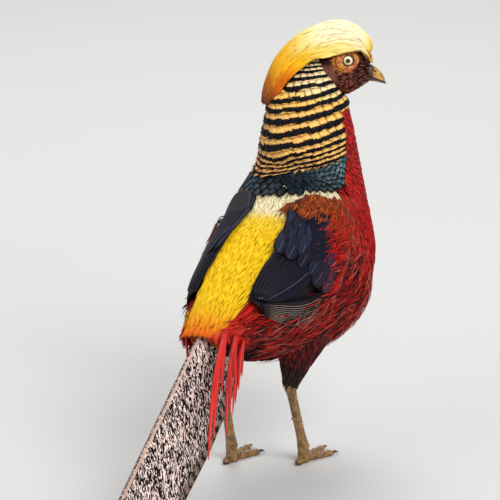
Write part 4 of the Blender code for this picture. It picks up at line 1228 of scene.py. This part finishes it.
def makeFace():
    at, angle = rowsOfRoots(skullPlace, 6.98, 0.2, 1.35, 1.0, 0.4)
    spots = skullPlace(at, angle)
    forward, _, up = headCoords(spots)
    keep = (np.sqrt(forward**2 + up**2) > face["patch"]) & ~((up > 9.5) & (forward < 8))
    at, angle = at[keep], angle[keep]
    count, rows = len(at), len(quillShape)
    tints = faceTint(spots[keep], chance.uniform(0, 1, count))
    length = np.interp(at, *face["length"]) * chance.uniform(0.8, 1.2, count)
    paths, outs, _, _ = walk(skullPlace, at, angle, length, rows, -1, chance.normal(0, 0.25, count))
    lifts = np.array(face["lifts"])[None] + chance.uniform(-0.1, 0.35, (count, 1)) * np.linspace(0, 1, rows)
    widths = np.interp(at, *face["half"])[:, None] * np.array(quillShape)[None]
    roots = np.stack([0.03 + 0.9 * (angle / 360 + 0.5), 0.03 + 0.9 * at / 7], -1)
    batch = layBlades(paths, outs, widths, tints, roots, lifts, crown=0.2, thick=0.2, patch=(0.0015, 0.0015))
    bladePiece("faceFeathers", [batch], softPlume("faceDown", face["settings"]), "head")


def skullSide(forward, up):  # how far out the skull reaches at a place on its side
    line = np.array(headForm["skull"], float)
    centre, half, rise, drop = (np.interp(forward, line[:, 0], line[:, k]) for k in (1, 2, 3, 4))
    high = np.where(up > centre, rise, drop)
    return half * np.sqrt(np.clip(1 - ((up - centre) / high) ** 2, 0.02, 1))


eye = {
    "radius": 5.5, "out": 11.7, "iris": 3.95, "pupil": 1.8, "lid": 4.55, "lidOut": 4.2, "lidRound": 0.589,
    # rings of the bare skin: radius, and height over the side of the head
    "skin": ((4.35, 2.2), (4.55, 2.75), (5.0, 2.85), (5.6, 2.4), (6.3, 1.9), (7.2, 1.35), (8.2, 0.75),
             (9.3, -0.6)),
    "skinThick": 0.7,
}


def makeEyeball(word, axis, centre):
    shape = bmesh.new()
    bmesh.ops.create_uvsphere(shape, u_segments=40, v_segments=40, radius=eye["radius"])
    turn = axis.to_track_quat("Z", "Y").to_matrix()
    key = shape.verts.layers.float.new("Ring")
    for vert in shape.verts:
        vert[key] = math.hypot(vert.co.x, vert.co.y) if vert.co.z > 0 else 9.0
        vert.co = turn @ vert.co + centre
    pieceFromShape(f"eyeball_{word}", shape, eyeMaterial(), f"eye_{word}", (f"eye_{word}",))


def makeEyeSkin(word, side):
    turns = np.linspace(0, 2 * math.pi, 48, endpoint=False)
    rings = []
    for radius, rise in eye["skin"]:
        forward, up = radius * np.cos(turns), radius * np.sin(turns)
        rings.append(headPoint(forward, side * (skullSide(forward, up) + rise), up))
    shape = bmesh.new()
    loftRings(shape, rings, closed=False)
    bmesh.ops.solidify(shape, geom=shape.faces, thickness=eye["skinThick"] * side)
    pieceFromShape(f"eyeSkin_{word}", shape, eyeSkinMaterial(), "head")


def makeEyelid(word, axis, centre):
    shape = bmesh.new()
    made = bmesh.ops.create_circle(shape, cap_ends=False, radius=eye["lidRound"], segments=10)["verts"]
    middle = centre + axis * eye["lidOut"]
    for vert in made:
        vert.co = middle + Vector(headAhead) * (eye["lid"] + vert.co.x) + axis * vert.co.y
    bmesh.ops.spin(shape, geom=made + list(shape.edges), cent=middle, axis=axis, dvec=(0, 0, 0),
                   angle=2 * math.pi, steps=44, use_merge=True, use_duplicate=False)
    bmesh.ops.remove_doubles(shape, verts=shape.verts, dist=0.001)
    pieceFromShape(f"eyelid_{word}", shape, lidMaterial(), "head")


@cache
def eyeMaterial():
    material, tree = newMaterial("paleEye", 0.15, coat=0.5, coatRough=0.03)
    ring = attribute(tree, "Ring", "Fac")
    iris, pupil = eye["iris"], eye["pupil"]
    tone = blend(noiseOf(tree, 900.0), srgb(250, 238, 196), srgb(232, 214, 160))
    tone = blend(band(ring, iris - 0.9, iris - 0.1), tone, srgb(150, 120, 80))
    tone = blend(band(ring, iris - 0.15, iris + 0.1), tone, (0.01, 0.007, 0.006))
    return finish(material, blend(band(ring, pupil - 0.1, pupil + 0.1), (0.003, 0.003, 0.003), tone))


@cache
def eyeSkinMaterial():
    material, tree = newMaterial("bareEyeSkin", 0.5, specular=0.4)
    cells = cellsOf(tree, 900.0)
    tone = blend(band(noiseOf(tree, 260.0, Detail=3.0), 0.42, 0.6), srgb(240, 176, 84), srgb(196, 92, 52))
    tone = blend(band(cells, 0.3, 0.75) * 0.6, tone, srgb(120, 48, 30))
    return finish(material, tone, 1.0 - cells, 0.6, 0.0004)


def lidMaterial():
    return speckled("darkLid", 0.4, 1200.0, (44, 22, 16), (92, 46, 30), (0.4, 0.0002))


bill = {
    "stations": 40, "corners": 12, "gape": 0.12, "thick": 0.35, "upperEnd": 7, "lowerEnd": 6,
    # a dark slit, painted shade of the nostril's opening: how it slopes, its place and its size
    "nostril": (-38, (20.2, 3.6, -10.4), (2.4, 0.55, 0.6)),
}


def billRing(forward, top, edge, bottom, half, upper):
    turns = np.linspace(0, math.pi, bill["corners"] + 1)
    sign, height, power = (1, top - edge, 0.8) if upper else (-1, edge - bottom, 0.9)
    start = edge + sign * bill["gape"]
    outer = headPoint(forward, half * np.cos(turns), start + sign * height * np.sin(turns) ** power)
    inner = headPoint(forward, half * np.array((-0.425, 0.0, 0.425)), start + sign * bill["thick"])
    return np.concatenate([outer, inner])


def makeBill(name, nodeName, upper, end):
    line = np.array(headForm["bill"])
    shape = bmesh.new()
    places = np.linspace(0, end, bill["stations"] + 1)
    loftRings(shape, [billRing(*between(line, at), upper) for at in places])
    edgeKey, rootKey = shape.verts.layers.float.new("Ring"), shape.verts.layers.float.new("Root")
    for vert in shape.verts:
        away = np.array(vert.co) - np.array(headForm["middle"])
        forward = float(away @ headAhead)
        vert[edgeKey] = abs(float(away[2]) - np.interp(forward, line[:, 0], line[:, 2]))
        vert[rootKey] = float(np.interp(forward, (17, 25), (1, 0)))
    pieceFromShape(name, shape, billMaterial(), nodeName, (nodeName,))


# the nostril's opening is a dark ellipsoid: painted shade
def makeNostril(word, side):
    slope, (forward, out, up), sizes = bill["nostril"]
    axes = np.stack(axesOf(slope, headForm["yaw"])) * np.array(sizes)[:, None]
    middle = headPoint(forward, side * out, up)
    shape = bmesh.new()
    for vert in bmesh.ops.create_uvsphere(shape, u_segments=20, v_segments=12, radius=1.0)["verts"]:
        vert.co = Vector(middle + np.array(vert.co) @ axes)
    pieceFromShape(f"nostril_{word}", shape, lidMaterial(), "bill_upper")


@cache
def billMaterial():
    material, tree = newMaterial("billHorn", 0.32, coat=0.3, coatRough=0.2)
    edge, root = attribute(tree, "Ring", "Fac"), attribute(tree, "Root", "Fac")
    noise = noiseOf(tree, 240.0, Detail=4.0, Distortion=1.0)
    tone = blend(band(noise, 0.35, 0.7), srgb(206, 160, 74), srgb(150, 100, 44))
    tone = blend(band(root + noise * 0.3, 0.6, 1.0) * 0.92, tone, srgb(30, 18, 15))
    return finish(material, blend(band(edge, 1.3, 0.4), tone, srgb(40, 24, 18)), noise, 0.2)


makeFace()
for word, side in bothSides.items():
    centre, axis = Vector(headPoint(0, side * eye["out"], 0)), Vector(headLeft * side)
    makeEyeball(word, axis, centre)
    makeEyeSkin(word, side)
    makeEyelid(word, axis, centre)
makeBill("billUpper", "bill_upper", True, bill["upperEnd"])
makeBill("billLower", "bill_lower", False, bill["lowerEnd"])
for word, side in bothSides.items():
    makeNostril(word, side)
print("head ready")

# ---- wings ----
wing = {
    # narrow quills curve round the lower edge to the tip, and each shows its buff rim
    "secondaries": {
        "count": 11, "half": 3.3, "shape": ((0, 0.3, 0.7, 0.9, 1), (0.7, 1.0, 0.62, 0.36, 0.12)),
        "tones": ((34, 24, 24), (16, 14, 22)), "patch": (0.02, 0.08),
        "blade": {"crown": 0.1, "thick": 0.35, "columns": 7},
    },
    # broad blue-black inner quills lie over them, two of them with a pale shaft
    "tertials": {
        "count": 6, "half": 8.0, "shape": ((0, 0.3, 0.8, 0.94, 1), (0.55, 1.0, 0.95, 0.6, 0.2)),
        "tones": ((16, 17, 36), (10, 10, 20)), "patch": (0.03, 0.08), "paleShafts": (2, 3),
        "blade": {"crown": 0.12, "thick": 0.4, "columns": 9},
    },
    "coverts": {
        "from": 0.14, "to": 0.5, "step": 0.05, "half": 6.2, "space": 6.4, "end": 0.92, "length": 0.15,
        "shape": ((0, 0.3, 0.6, 0.85, 0.95, 1), (0.6, 0.95, 1.0, 0.95, 0.75, 0.4)),
        "patch": (0.003, 0.003), "blade": {"crown": 0.05, "thick": 0.3, "columns": 5},
    },
    # places along the wing, and how far across it the coverts reach there
    "rear": ((0.14, 0.286, 0.36, 0.43, 0.5, 0.57, 0.65), (0.0, 0.2, 0.3, 0.5, 0.6, 0.85, 1.0)),
    # the left wing lies closer in: its quills keep this share of their lift, or lie this much lower
    "leftShare": 0.3, "leftDrop": {"tertials": 3.0, "coverts": 3.6},
    "rows": 12,
}


def wingThickness(across):
    return 1.0 + 1.4 * np.maximum(1 - across**2, 0)


def wingBed(word, side):
    shape = bmesh.new()
    bmesh.ops.create_grid(shape, x_segments=46, y_segments=16, size=1)
    verts = list(shape.verts)
    along = np.array([(v.co.x + 1) / 2 * 0.965 + 0.015 for v in verts])
    across = np.array([v.co.y * 0.93 for v in verts])
    for vert, spot in zip(verts, wingSpot(side, along, across, wingThickness(across))[0]):
        vert.co = spot
    bmesh.ops.recalc_face_normals(shape, faces=shape.faces)
    bmesh.ops.solidify(shape, geom=shape.faces, thickness=0.8)
    pieceFromShape(f"wingBed_{word}", shape, bedMaterial(), f"wing_{word}", (f"wing_{word}",))


def bedMaterial():
    return speckled("wingBedDark", 0.6, 400.0, (16, 16, 26), (34, 26, 34), specular=0.2)


def wingBlades(kind, side, along, across, lifts, tints, marks, widths=1.0):  # by feather and row
    spots, outs = wingSpot(side, along, across, wingThickness(across) + lifts)
    halves = kind["half"] * np.interp(np.linspace(0, 1, wing["rows"]), *kind["shape"])[None] * widths
    roots = np.stack([0.05 + 0.85 * along[:, 0], (0.27 if side > 0 else 0.73) + 0.2 * across[:, 0]], -1)
    return layBlades(spots, outs, halves, tints, roots, marks=marks, patch=kind["patch"], **kind["blade"])


def secondaryPath(q, s):  # q runs over the quills and s along each one
    start, end = (0.64 - 0.18 * q, 1.02 - 0.42 * q), (0.99 - 0.02 * q, 0.95 - 1.0 * q)
    along = start[0] + (end[0] - start[0]) * s
    return along, start[1] + (end[1] - start[1]) * s**1.5 + 0.22 * np.sin(math.pi * s)


def tertialPath(q, s):
    return 0.26 + 0.04 * q + 0.67 * s, -0.04 - 0.68 * q + (0.16 * q - 0.1) * s + 0.1 * np.sin(math.pi * s)


def makeQuills(word, side):
    s, batches = np.linspace(0, 1, wing["rows"]), []
    share, drop = (wing["leftShare"], wing["leftDrop"]["tertials"]) if side > 0 else (1, 0)
    for name, path in (("secondaries", secondaryPath), ("tertials", tertialPath)):
        kind = wing[name]
        for k in range(kind["count"]):
            q = k / (kind["count"] - 1)
            along, across = path(q, s)
            if name == "secondaries":
                lifts = (1.0 + 0.24 * k + 0.5 * s) * share
                marks = (0.1, 1.0 - 0.3 * q, side)
            else:
                lifts = 2.7 + 0.3 * (kind["count"] - k) + 0.5 * s - drop
                marks = (0.9 if k in kind["paleShafts"] else 0.1, 0.0, side)
            tints = mix(*(srgb(*tone) for tone in kind["tones"]), q)[None]
            batches.append(wingBlades(kind, side, along[None], across[None], lifts[None], tints, [marks]))
    bladePiece(f"wingQuills_{word}", batches, wingMaterial(), f"wing_{word}")


def makeCoverts(word, side):  # rounded coverts in tiers from the shoulder
    s, batches, kind = np.linspace(0, 1, wing["rows"]), [], wing["coverts"]
    for n, at in enumerate(np.arange(kind["from"], kind["to"], kind["step"])[::-1]):
        half = between(wingForm["line"], at * (len(wingForm["line"]) - 1))[2]
        rear = np.interp(at, *wing["rear"])
        count = max(int(half * (rear + kind["end"]) / kind["space"]), 3)
        across = np.linspace(-kind["end"], rear, count) + (n % 2) * 0.9 / count
        across = np.clip(across + chance.uniform(-0.04, 0.04, count), -0.95, rear)
        along = at + chance.uniform(-0.01, 0.01, count)
        path = along[:, None] + kind["length"] * chance.uniform(0.9, 1.1, (count, 1)) * s
        acrossPath = across[:, None] + (0.03 - 0.06 * across[:, None]) * s
        lifts = 3.8 + 1.0 * s + np.interp(at, (0.1, 0.56), (-1.5, 1.6))
        lifts = lifts - (wing["leftDrop"]["coverts"] if side > 0 else 0)
        tints = mix(srgb(12, 12, 24), srgb(38, 42, 66), chance.uniform(0, 1, count) ** 1.3)
        purple = ease(0.1, 0.7, across) * ease(0.2, 0.4, along) * chance.uniform(0.2, 1, count)
        tints = mix(tints, srgb(78, 20, 40), purple)
        brown = ease(0.4, 0.9, across) * ease(0.34, 0.5, along) * chance.uniform(0, 0.9, count)
        tints = mix(tints, srgb(70, 46, 38), brown)
        widths = chance.uniform(0.85, 1.1, (count, 1))
        marks = np.tile((0.1, 0.0, side), (count, 1))
        batches.append(wingBlades(kind, side, path, acrossPath, lifts[None], tints, marks, widths))
    bladePiece(f"wingCoverts_{word}", batches, wingMaterial(), f"wing_{word}")


@cache
def wingMaterial():
    material, tree = newMaterial("wingBlue", 0.5, specular=0.12)
    tint, streak, plume, along, across, _ = plumage(tree, 26.0, 0.0)
    shaftPale, rimPale, side = split(attribute(tree, "Mark"))
    ground = blend(streak * 0.55, tint, darker(tint, (0.4, 0.4, 0.5)))
    ground = blend(rimOf(plume, 0.16) * 0.8, ground, (0.006, 0.006, 0.012))
    shaft = inside(abs(across), 0.03, 0.07) * (shaftPale * band(along, 0.45, 0.55))
    ground = blend(shaft, ground, srgb(205, 190, 190))
    length = band(along, 0.05, 0.25) * band(along, 1.0, 0.82)
    rim = band(across * side, 0.76, 0.82) * (rimPale * length)
    return finish(material, blend(rim, ground, srgb(240, 220, 196)), streak, 0.35)


for word, side in bothSides.items():
    wingBed(word, side)
    makeQuills(word, side)
    makeCoverts(word, side)
print("wings ready")

# ---- tail ----
tail = {
    # length, width, how far the inner edge is from the ridge
    "feathers": ((640, 48, -2), (580, 44, 5), (520, 41, 10), (455, 38, 14), (395, 36, 17), (340, 34, 20),
                 (290, 32, 22), (245, 30, 24), (200, 28, 26)),
    "step": 0.75, "thick": 0.5, "rows": 84, "start": 0.5, "unwrapStep": 0.053,
    # the down at the root: along the ridge, half width, top and bottom
    "root": ((14, 7, -7, 20), (34, 5, -9, 18), (56, 3, -10, 15), (70, 1.2, -11, 13)), "rootCorners": 28,
}


def tailLean(spot):
    room = np.maximum(spot[..., 2] - tailForm["edgeHeight"], 0) / tailForm["reach"]
    return np.minimum(math.radians(tailForm["roof"]), np.arcsin(np.minimum(room, 0.87)))


def tailBlade(side, rank, feather):
    length, width, inner = feather
    central = rank == 0
    along = np.linspace(tail["start"], length, tail["rows"])
    spot, _, left, up = tailRidge(along)
    grow = 0.9 + 0.1 * np.minimum(along / 90, 1) ** 0.8
    taper = np.maximum(1 - (along / length) ** 3.2, 0) ** 0.8
    half = width / 2 * grow * taper + 0.4
    away = half + (-np.minimum(-inner, 0.9 * half) if central else inner * grow * (0.3 + 0.7 * taper))
    lean = tailLean(spot)[:, None]
    out = left * side * np.sin(lean) + up * np.cos(lean)
    across = left * side * np.cos(lean) - up * np.sin(lean)
    path = spot + across * away[:, None] - out * rank * tail["step"]
    path[:, 2] = np.maximum(path[:, 2], modelFloor + 0.6)
    tints = mix(srgb(244, 220, 212), srgb(190, 138, 100), 0.0 if central else 0.7)[None]
    marks = ((1.0 if central else 0.0, 0.0, 0.0),)
    root = np.array([[0.02 + (rank * 2 + (side > 0)) * tail["unwrapStep"], 0.02]])
    batch = layBlades(path[None], out[None], half[None], tints, root, 0.0, 0.06, tail["thick"], columns=9,
                      marks=marks, patch=(0.048, 0.95), span=length)
    if central:  # the shaft of the middle pair runs on the ridge
        batch["span"] = batch["span"].copy()
        batch["span"][:, 1] += side * np.repeat(away, len(batch["span"]) // len(away))
    return batch


def makeTail():
    ranks = enumerate(tail["feathers"])
    batches = [tailBlade(side, rank, feather) for rank, feather in ranks for side in (1, -1)]
    bladePiece("tailFeathers", batches, tailMaterial(), "tail_base", ("tail_base", "tail_end"))
    corners = tail["rootCorners"]
    angles = np.linspace(0, 360, corners, endpoint=False)
    rings = [ringOf(bodyPlace, 0.4, corners, -2.0)]
    for along, half, top, bottom in tail["root"]:
        spot, _, left, up = tailRidge(np.array(float(along)))
        middle, high = spot + up * (top - bottom) / 2, np.full(corners, (top + bottom) / 2)
        rings.append(ovalPoint(middle, left, up, np.full(corners, half), high, high, angles))
    shape = bmesh.new()
    loftRings(shape, rings)
    pieceFromShape("tailRoot", shape, tailRootMaterial(), "tail_base")


def tailRootMaterial():
    return speckled("tailRootDown", 0.8, 500.0, (150, 40, 16), (214, 110, 30), (0.5, 0.0006))


def tailMaterial():
    material, tree = newMaterial("mottledTail", 0.6, specular=0.1)
    tint, streak, _, _, _, seed = plumage(tree, 160.0, 0.0)
    far, out, _ = split(attribute(tree, "Span"))
    central = split(attribute(tree, "Mark"))[0]
    sweep = far - abs(out) * 0.9
    key = join(sweep * 0.5, out * 0.36, seed * 33.0)
    bend, blots = (noiseOf(tree, scale, key, Detail=1.0) for scale in (0.9, 0.98))
    worms = noiseOf(tree, 0.52, key, Detail=1.0, Distortion=1.4)
    net = inside(abs(worms - 0.5), 0.06, 0.08).calc("MAXIMUM", band(blots, 0.55, 0.575))
    bars = band((sweep * 0.6 + bend * 7.0).calc("SINE"), 0.05, 0.35)
    ground = blend(streak * 0.3, tint, darker(tint, (0.86, 0.8, 0.76)))
    ground = blend(net * central + bars * (1.0 - central), ground, srgb(16, 9, 9))
    shaft = inside(abs(out), 0.9, 1.4)
    return finish(material, blend(shaft * 0.75, ground, srgb(240, 206, 188)), streak)


modelFloor = -float(modelShift[2]) / mm
makeTail()
print("tail ready")

# ---- long scarlet coverts beside the tail ----
longCoverts = {
    # root station, root angle, tip beyond the root as back, out and down, half width
    "right": ((0.62, 52, (120, 36, 66), 2.9), (0.75, 76, (94, 30, 50), 2.8), (0.9, 100, (78, 22, 34), 2.7)),
    # each copy's size, spread and paleness of its shaft
    "copies": ((1.0, 0, 1.0), (0.86, 1.3, 0.3), (0.7, -1.2, 1.0), (0.52, 0.5, 0.3)),
    # the left side has one short pair, and these are the shares of the right side's reach
    "leftReach": (0.3, -0.4, 0.7), "leftSize": 0.8, "leftKinds": 1, "leftCopies": 2,
    "rows": 22,
}


def makeLongCoverts():
    batches = []
    s = np.linspace(0, 1, longCoverts["rows"])
    for side in (1, -1):
        hidden = side > 0
        kinds = longCoverts["right"][:longCoverts["leftKinds"]] if hidden else longCoverts["right"]
        copies = longCoverts["copies"][:longCoverts["leftCopies"]] if hidden else longCoverts["copies"]
        for at, angle, reach, half in kinds:
            back, aside, down = np.multiply(reach, longCoverts["leftReach"]) if hidden else reach
            for k, (size, spread, shaftPale) in enumerate(copies):
                size = size * (longCoverts["leftSize"] if hidden else 1) + chance.uniform(-0.03, 0.03)
                turn = side * (angle + spread * 2.2)
                root, out = surface(bodyPlace, np.array([at + 0.02 * k]), np.array([turn]))
                outward = side * aside * size * s**1.3 - 4.5 * s
                swing = np.stack([-back * s * size, outward, -down * size * s**1.25 + spread * s], -1)
                lift = -2.8 + 4.2 * np.minimum(s / 0.14, 1) - 0.5 * k
                path = root + swing + out * lift[:, None]
                outs = unit(np.array([0, side * 0.9, 0.45]) + out * 0.3) * np.ones((len(s), 1))
                widths = (0.5 + 0.95 * s - 1.33 * s**3.4) * half + 0.12
                tints = mix(paint["scarlet"], paint["crimson"], chance.uniform(0.0, 0.6))[None]
                roots = np.array([[(0.05 + 0.045 * len(batches)) % 0.9, 0.1 if hidden else 0.55]])
                batches.append(layBlades(path[None], outs[None], widths[None], tints, roots, 0.0, 0.25, 0.4,
                                         columns=5, marks=((shaftPale, 0, 0),), patch=(0.03, 0.3)))
    bladePiece("longCoverts", batches, covertMaterial(), "rump")


def covertMaterial():
    material, tree = newMaterial("scarletCovert", 0.5, specular=0.25)
    tint, streak, _, _, across, _ = plumage(tree, 40.0, 0.0)
    shaftPale = split(attribute(tree, "Mark"))[0]
    outward = abs(across)
    ground = blend(streak * 0.5, tint, darker(tint, (0.5, 0.4, 0.4)))
    ground = blend(band(outward, 0.75, 0.95) * 0.6, ground, srgb(110, 10, 14))
    shaft = inside(outward, 0.1, 0.24) * shaftPale
    return finish(material, blend(shaft, ground, srgb(235, 96, 96)), streak, 0.35)


makeLongCoverts()
print("long coverts ready")

# ---- legs and feet ----
legs = {
    "shank": 3.5, "scutes": 15, "shankScute": 0.11, "toeScute": 0.13,
    # angle from straight ahead and length, the hind toe last
    "toes": ((-24, 34), (2, 42), (27, 35), (178, 14)),
    "clawShare": 0.8, "knuckles": 5, "claw": 1.6,
    # share of the way down the shank, radius, length
    "spur": (0.52, 2.1, 8),
    "pad": 4.6, "padTop": 13,
}


@cache
def legMaterial():
    material, tree = newMaterial("scaledLeg", 0.42, coat=0.15)
    cells = cellsOf(tree, 620.0, "DISTANCE_TO_EDGE")
    tone = blend(band(noiseOf(tree, 160.0, Detail=3.0), 0.35, 0.65), srgb(176, 134, 74), srgb(128, 92, 52))
    return finish(material, blend(band(cells, 0.14, 0.02), tone, srgb(74, 50, 30)), cells, 0.45, 0.0005)


def clawMaterial():
    return speckled("darkClaw", 0.3, 500.0, (42, 30, 24), (86, 64, 44), coat=0.3)


def tube(centres, radii, count, ridges=None, floor=None):  # rings along a path, with plates where ridges say
    centres = np.asarray(centres, float)
    ways = unit(np.gradient(centres, axis=0))
    turns = np.linspace(0, 2 * math.pi, count, endpoint=False)
    rings = []
    for i, (centre, way, radius) in enumerate(zip(centres, ways, radii)):
        up = unit(np.cross(way, (0.0, 1.0, 0.0) if abs(way[1]) < 0.8 else (1.0, 0.0, 0.0)))
        up = up if up[2] + up[0] > 0 or abs(way[2]) < 0.5 else -up
        left = np.cross(up, way)
        scale = np.ones(count) if ridges is None else 1 + ridges[i] * np.clip(np.cos(turns) + 0.35, 0, 1)
        outward = left * np.sin(turns)[:, None] + up * np.cos(turns)[:, None]
        ring = centre + outward * (radius * scale)[:, None]
        if floor is not None:
            ring[:, 2] = np.maximum(ring[:, 2], floor)
        rings.append(ring)
    return rings


def sawPlates(share, plates, height):  # each plate rises to its lower edge and drops
    return height * ((share * plates) % 1) ** 1.5


def makeShank(word, hock, ankle):
    share = np.linspace(-0.06, 1.0, 150)
    swell = 1.1 * (2 * np.clip(share, 0, 1) - 0.95) ** 4 + 0.5 * np.exp(-((share - 0.02) / 0.06) ** 2)
    ridges = sawPlates(np.clip(share, 0, 1), legs["scutes"], legs["shankScute"])
    shape = bmesh.new()
    loftRings(shape, tube(hock + (ankle - hock) * share[:, None], legs["shank"] + swell, 22, ridges))
    at, radius, length = legs["spur"]
    s = np.linspace(0, 1, 12)
    spur = hock + (ankle - hock) * at + np.stack([-(length + 3) * s, 0 * s, 2.5 * s**1.6], -1)
    loftRings(shape, tube(spur, radius * (1 - s) ** 0.7 + 0.15, 12))
    pieceFromShape(f"legShank_{word}", shape, legMaterial(), f"shank_{word}", (f"shank_{word}",))


def makeFoot(word, side, ankle):
    floor, clawAt = modelFloor, legs["clawShare"]
    shape, claws = bmesh.new(), bmesh.new()
    for angle, length in legs["toes"]:
        turn = math.radians(angle * side)
        ahead = np.array((math.cos(turn), math.sin(turn))) * length

        def path(share, height):
            return np.stack([ankle[0] + ahead[0] * share, ankle[1] + ahead[1] * share, height], -1)

        share = np.linspace(0, clawAt + 0.02, 70)
        knuckle = 0.35 * np.exp(-(((share * legs["knuckles"]) % 1 - 0.5) / 0.16) ** 2)
        radius = 3.3 - 1.25 * share + knuckle * (share > 0.15)
        radius = radius * np.where(share > clawAt - 0.03, np.clip((clawAt + 0.05 - share) / 0.08, 0.45, 1), 1)
        arch = np.where(share < 0.16, 3.0 * (1 - share / 0.16), 0)
        plates = sawPlates(share, length / 2.6, legs["toeScute"])
        loftRings(shape, tube(path(share, floor + radius * 0.85 + arch), radius, 14, plates, floor + 0.02))
        s = np.linspace(0, 1, 16)
        start = clawAt - 0.03
        height = floor + 1.5 + 1.6 * np.sin(math.pi * s * 0.9) - 1.0 * s
        radius = legs["claw"] * (1 - s) ** 0.75 + 0.14
        loftRings(claws, tube(path(start + (1 - start) * s, height), radius, 12, None, floor + 0.02))
    corners = 20
    wide = np.full(corners, legs["pad"] + 0.2)
    angles = np.linspace(0, 360, corners, endpoint=False)
    pad = []
    for z in np.linspace(0.02, legs["padTop"], 14):
        middle, half = np.array((ankle[0], ankle[1], floor + z)), wide - 0.2 - 0.03 * z
        pad.append(ovalPoint(middle, np.array((0, 1, 0)), np.array((1, 0, 0)), half, wide, wide, angles))
    loftRings(shape, pad)
    pieceFromShape(f"legFoot_{word}", shape, legMaterial(), f"foot_{word}", (f"foot_{word}",))
    pieceFromShape(f"claws_{word}", claws, clawMaterial(), f"foot_{word}")


for word, side in bothSides.items():
    hock, ankle = (np.array(legForm[k][word], float) for k in ("hock", "ankle"))
    makeShank(word, hock, ankle)
    makeFoot(word, side, ankle)
print("legs ready")
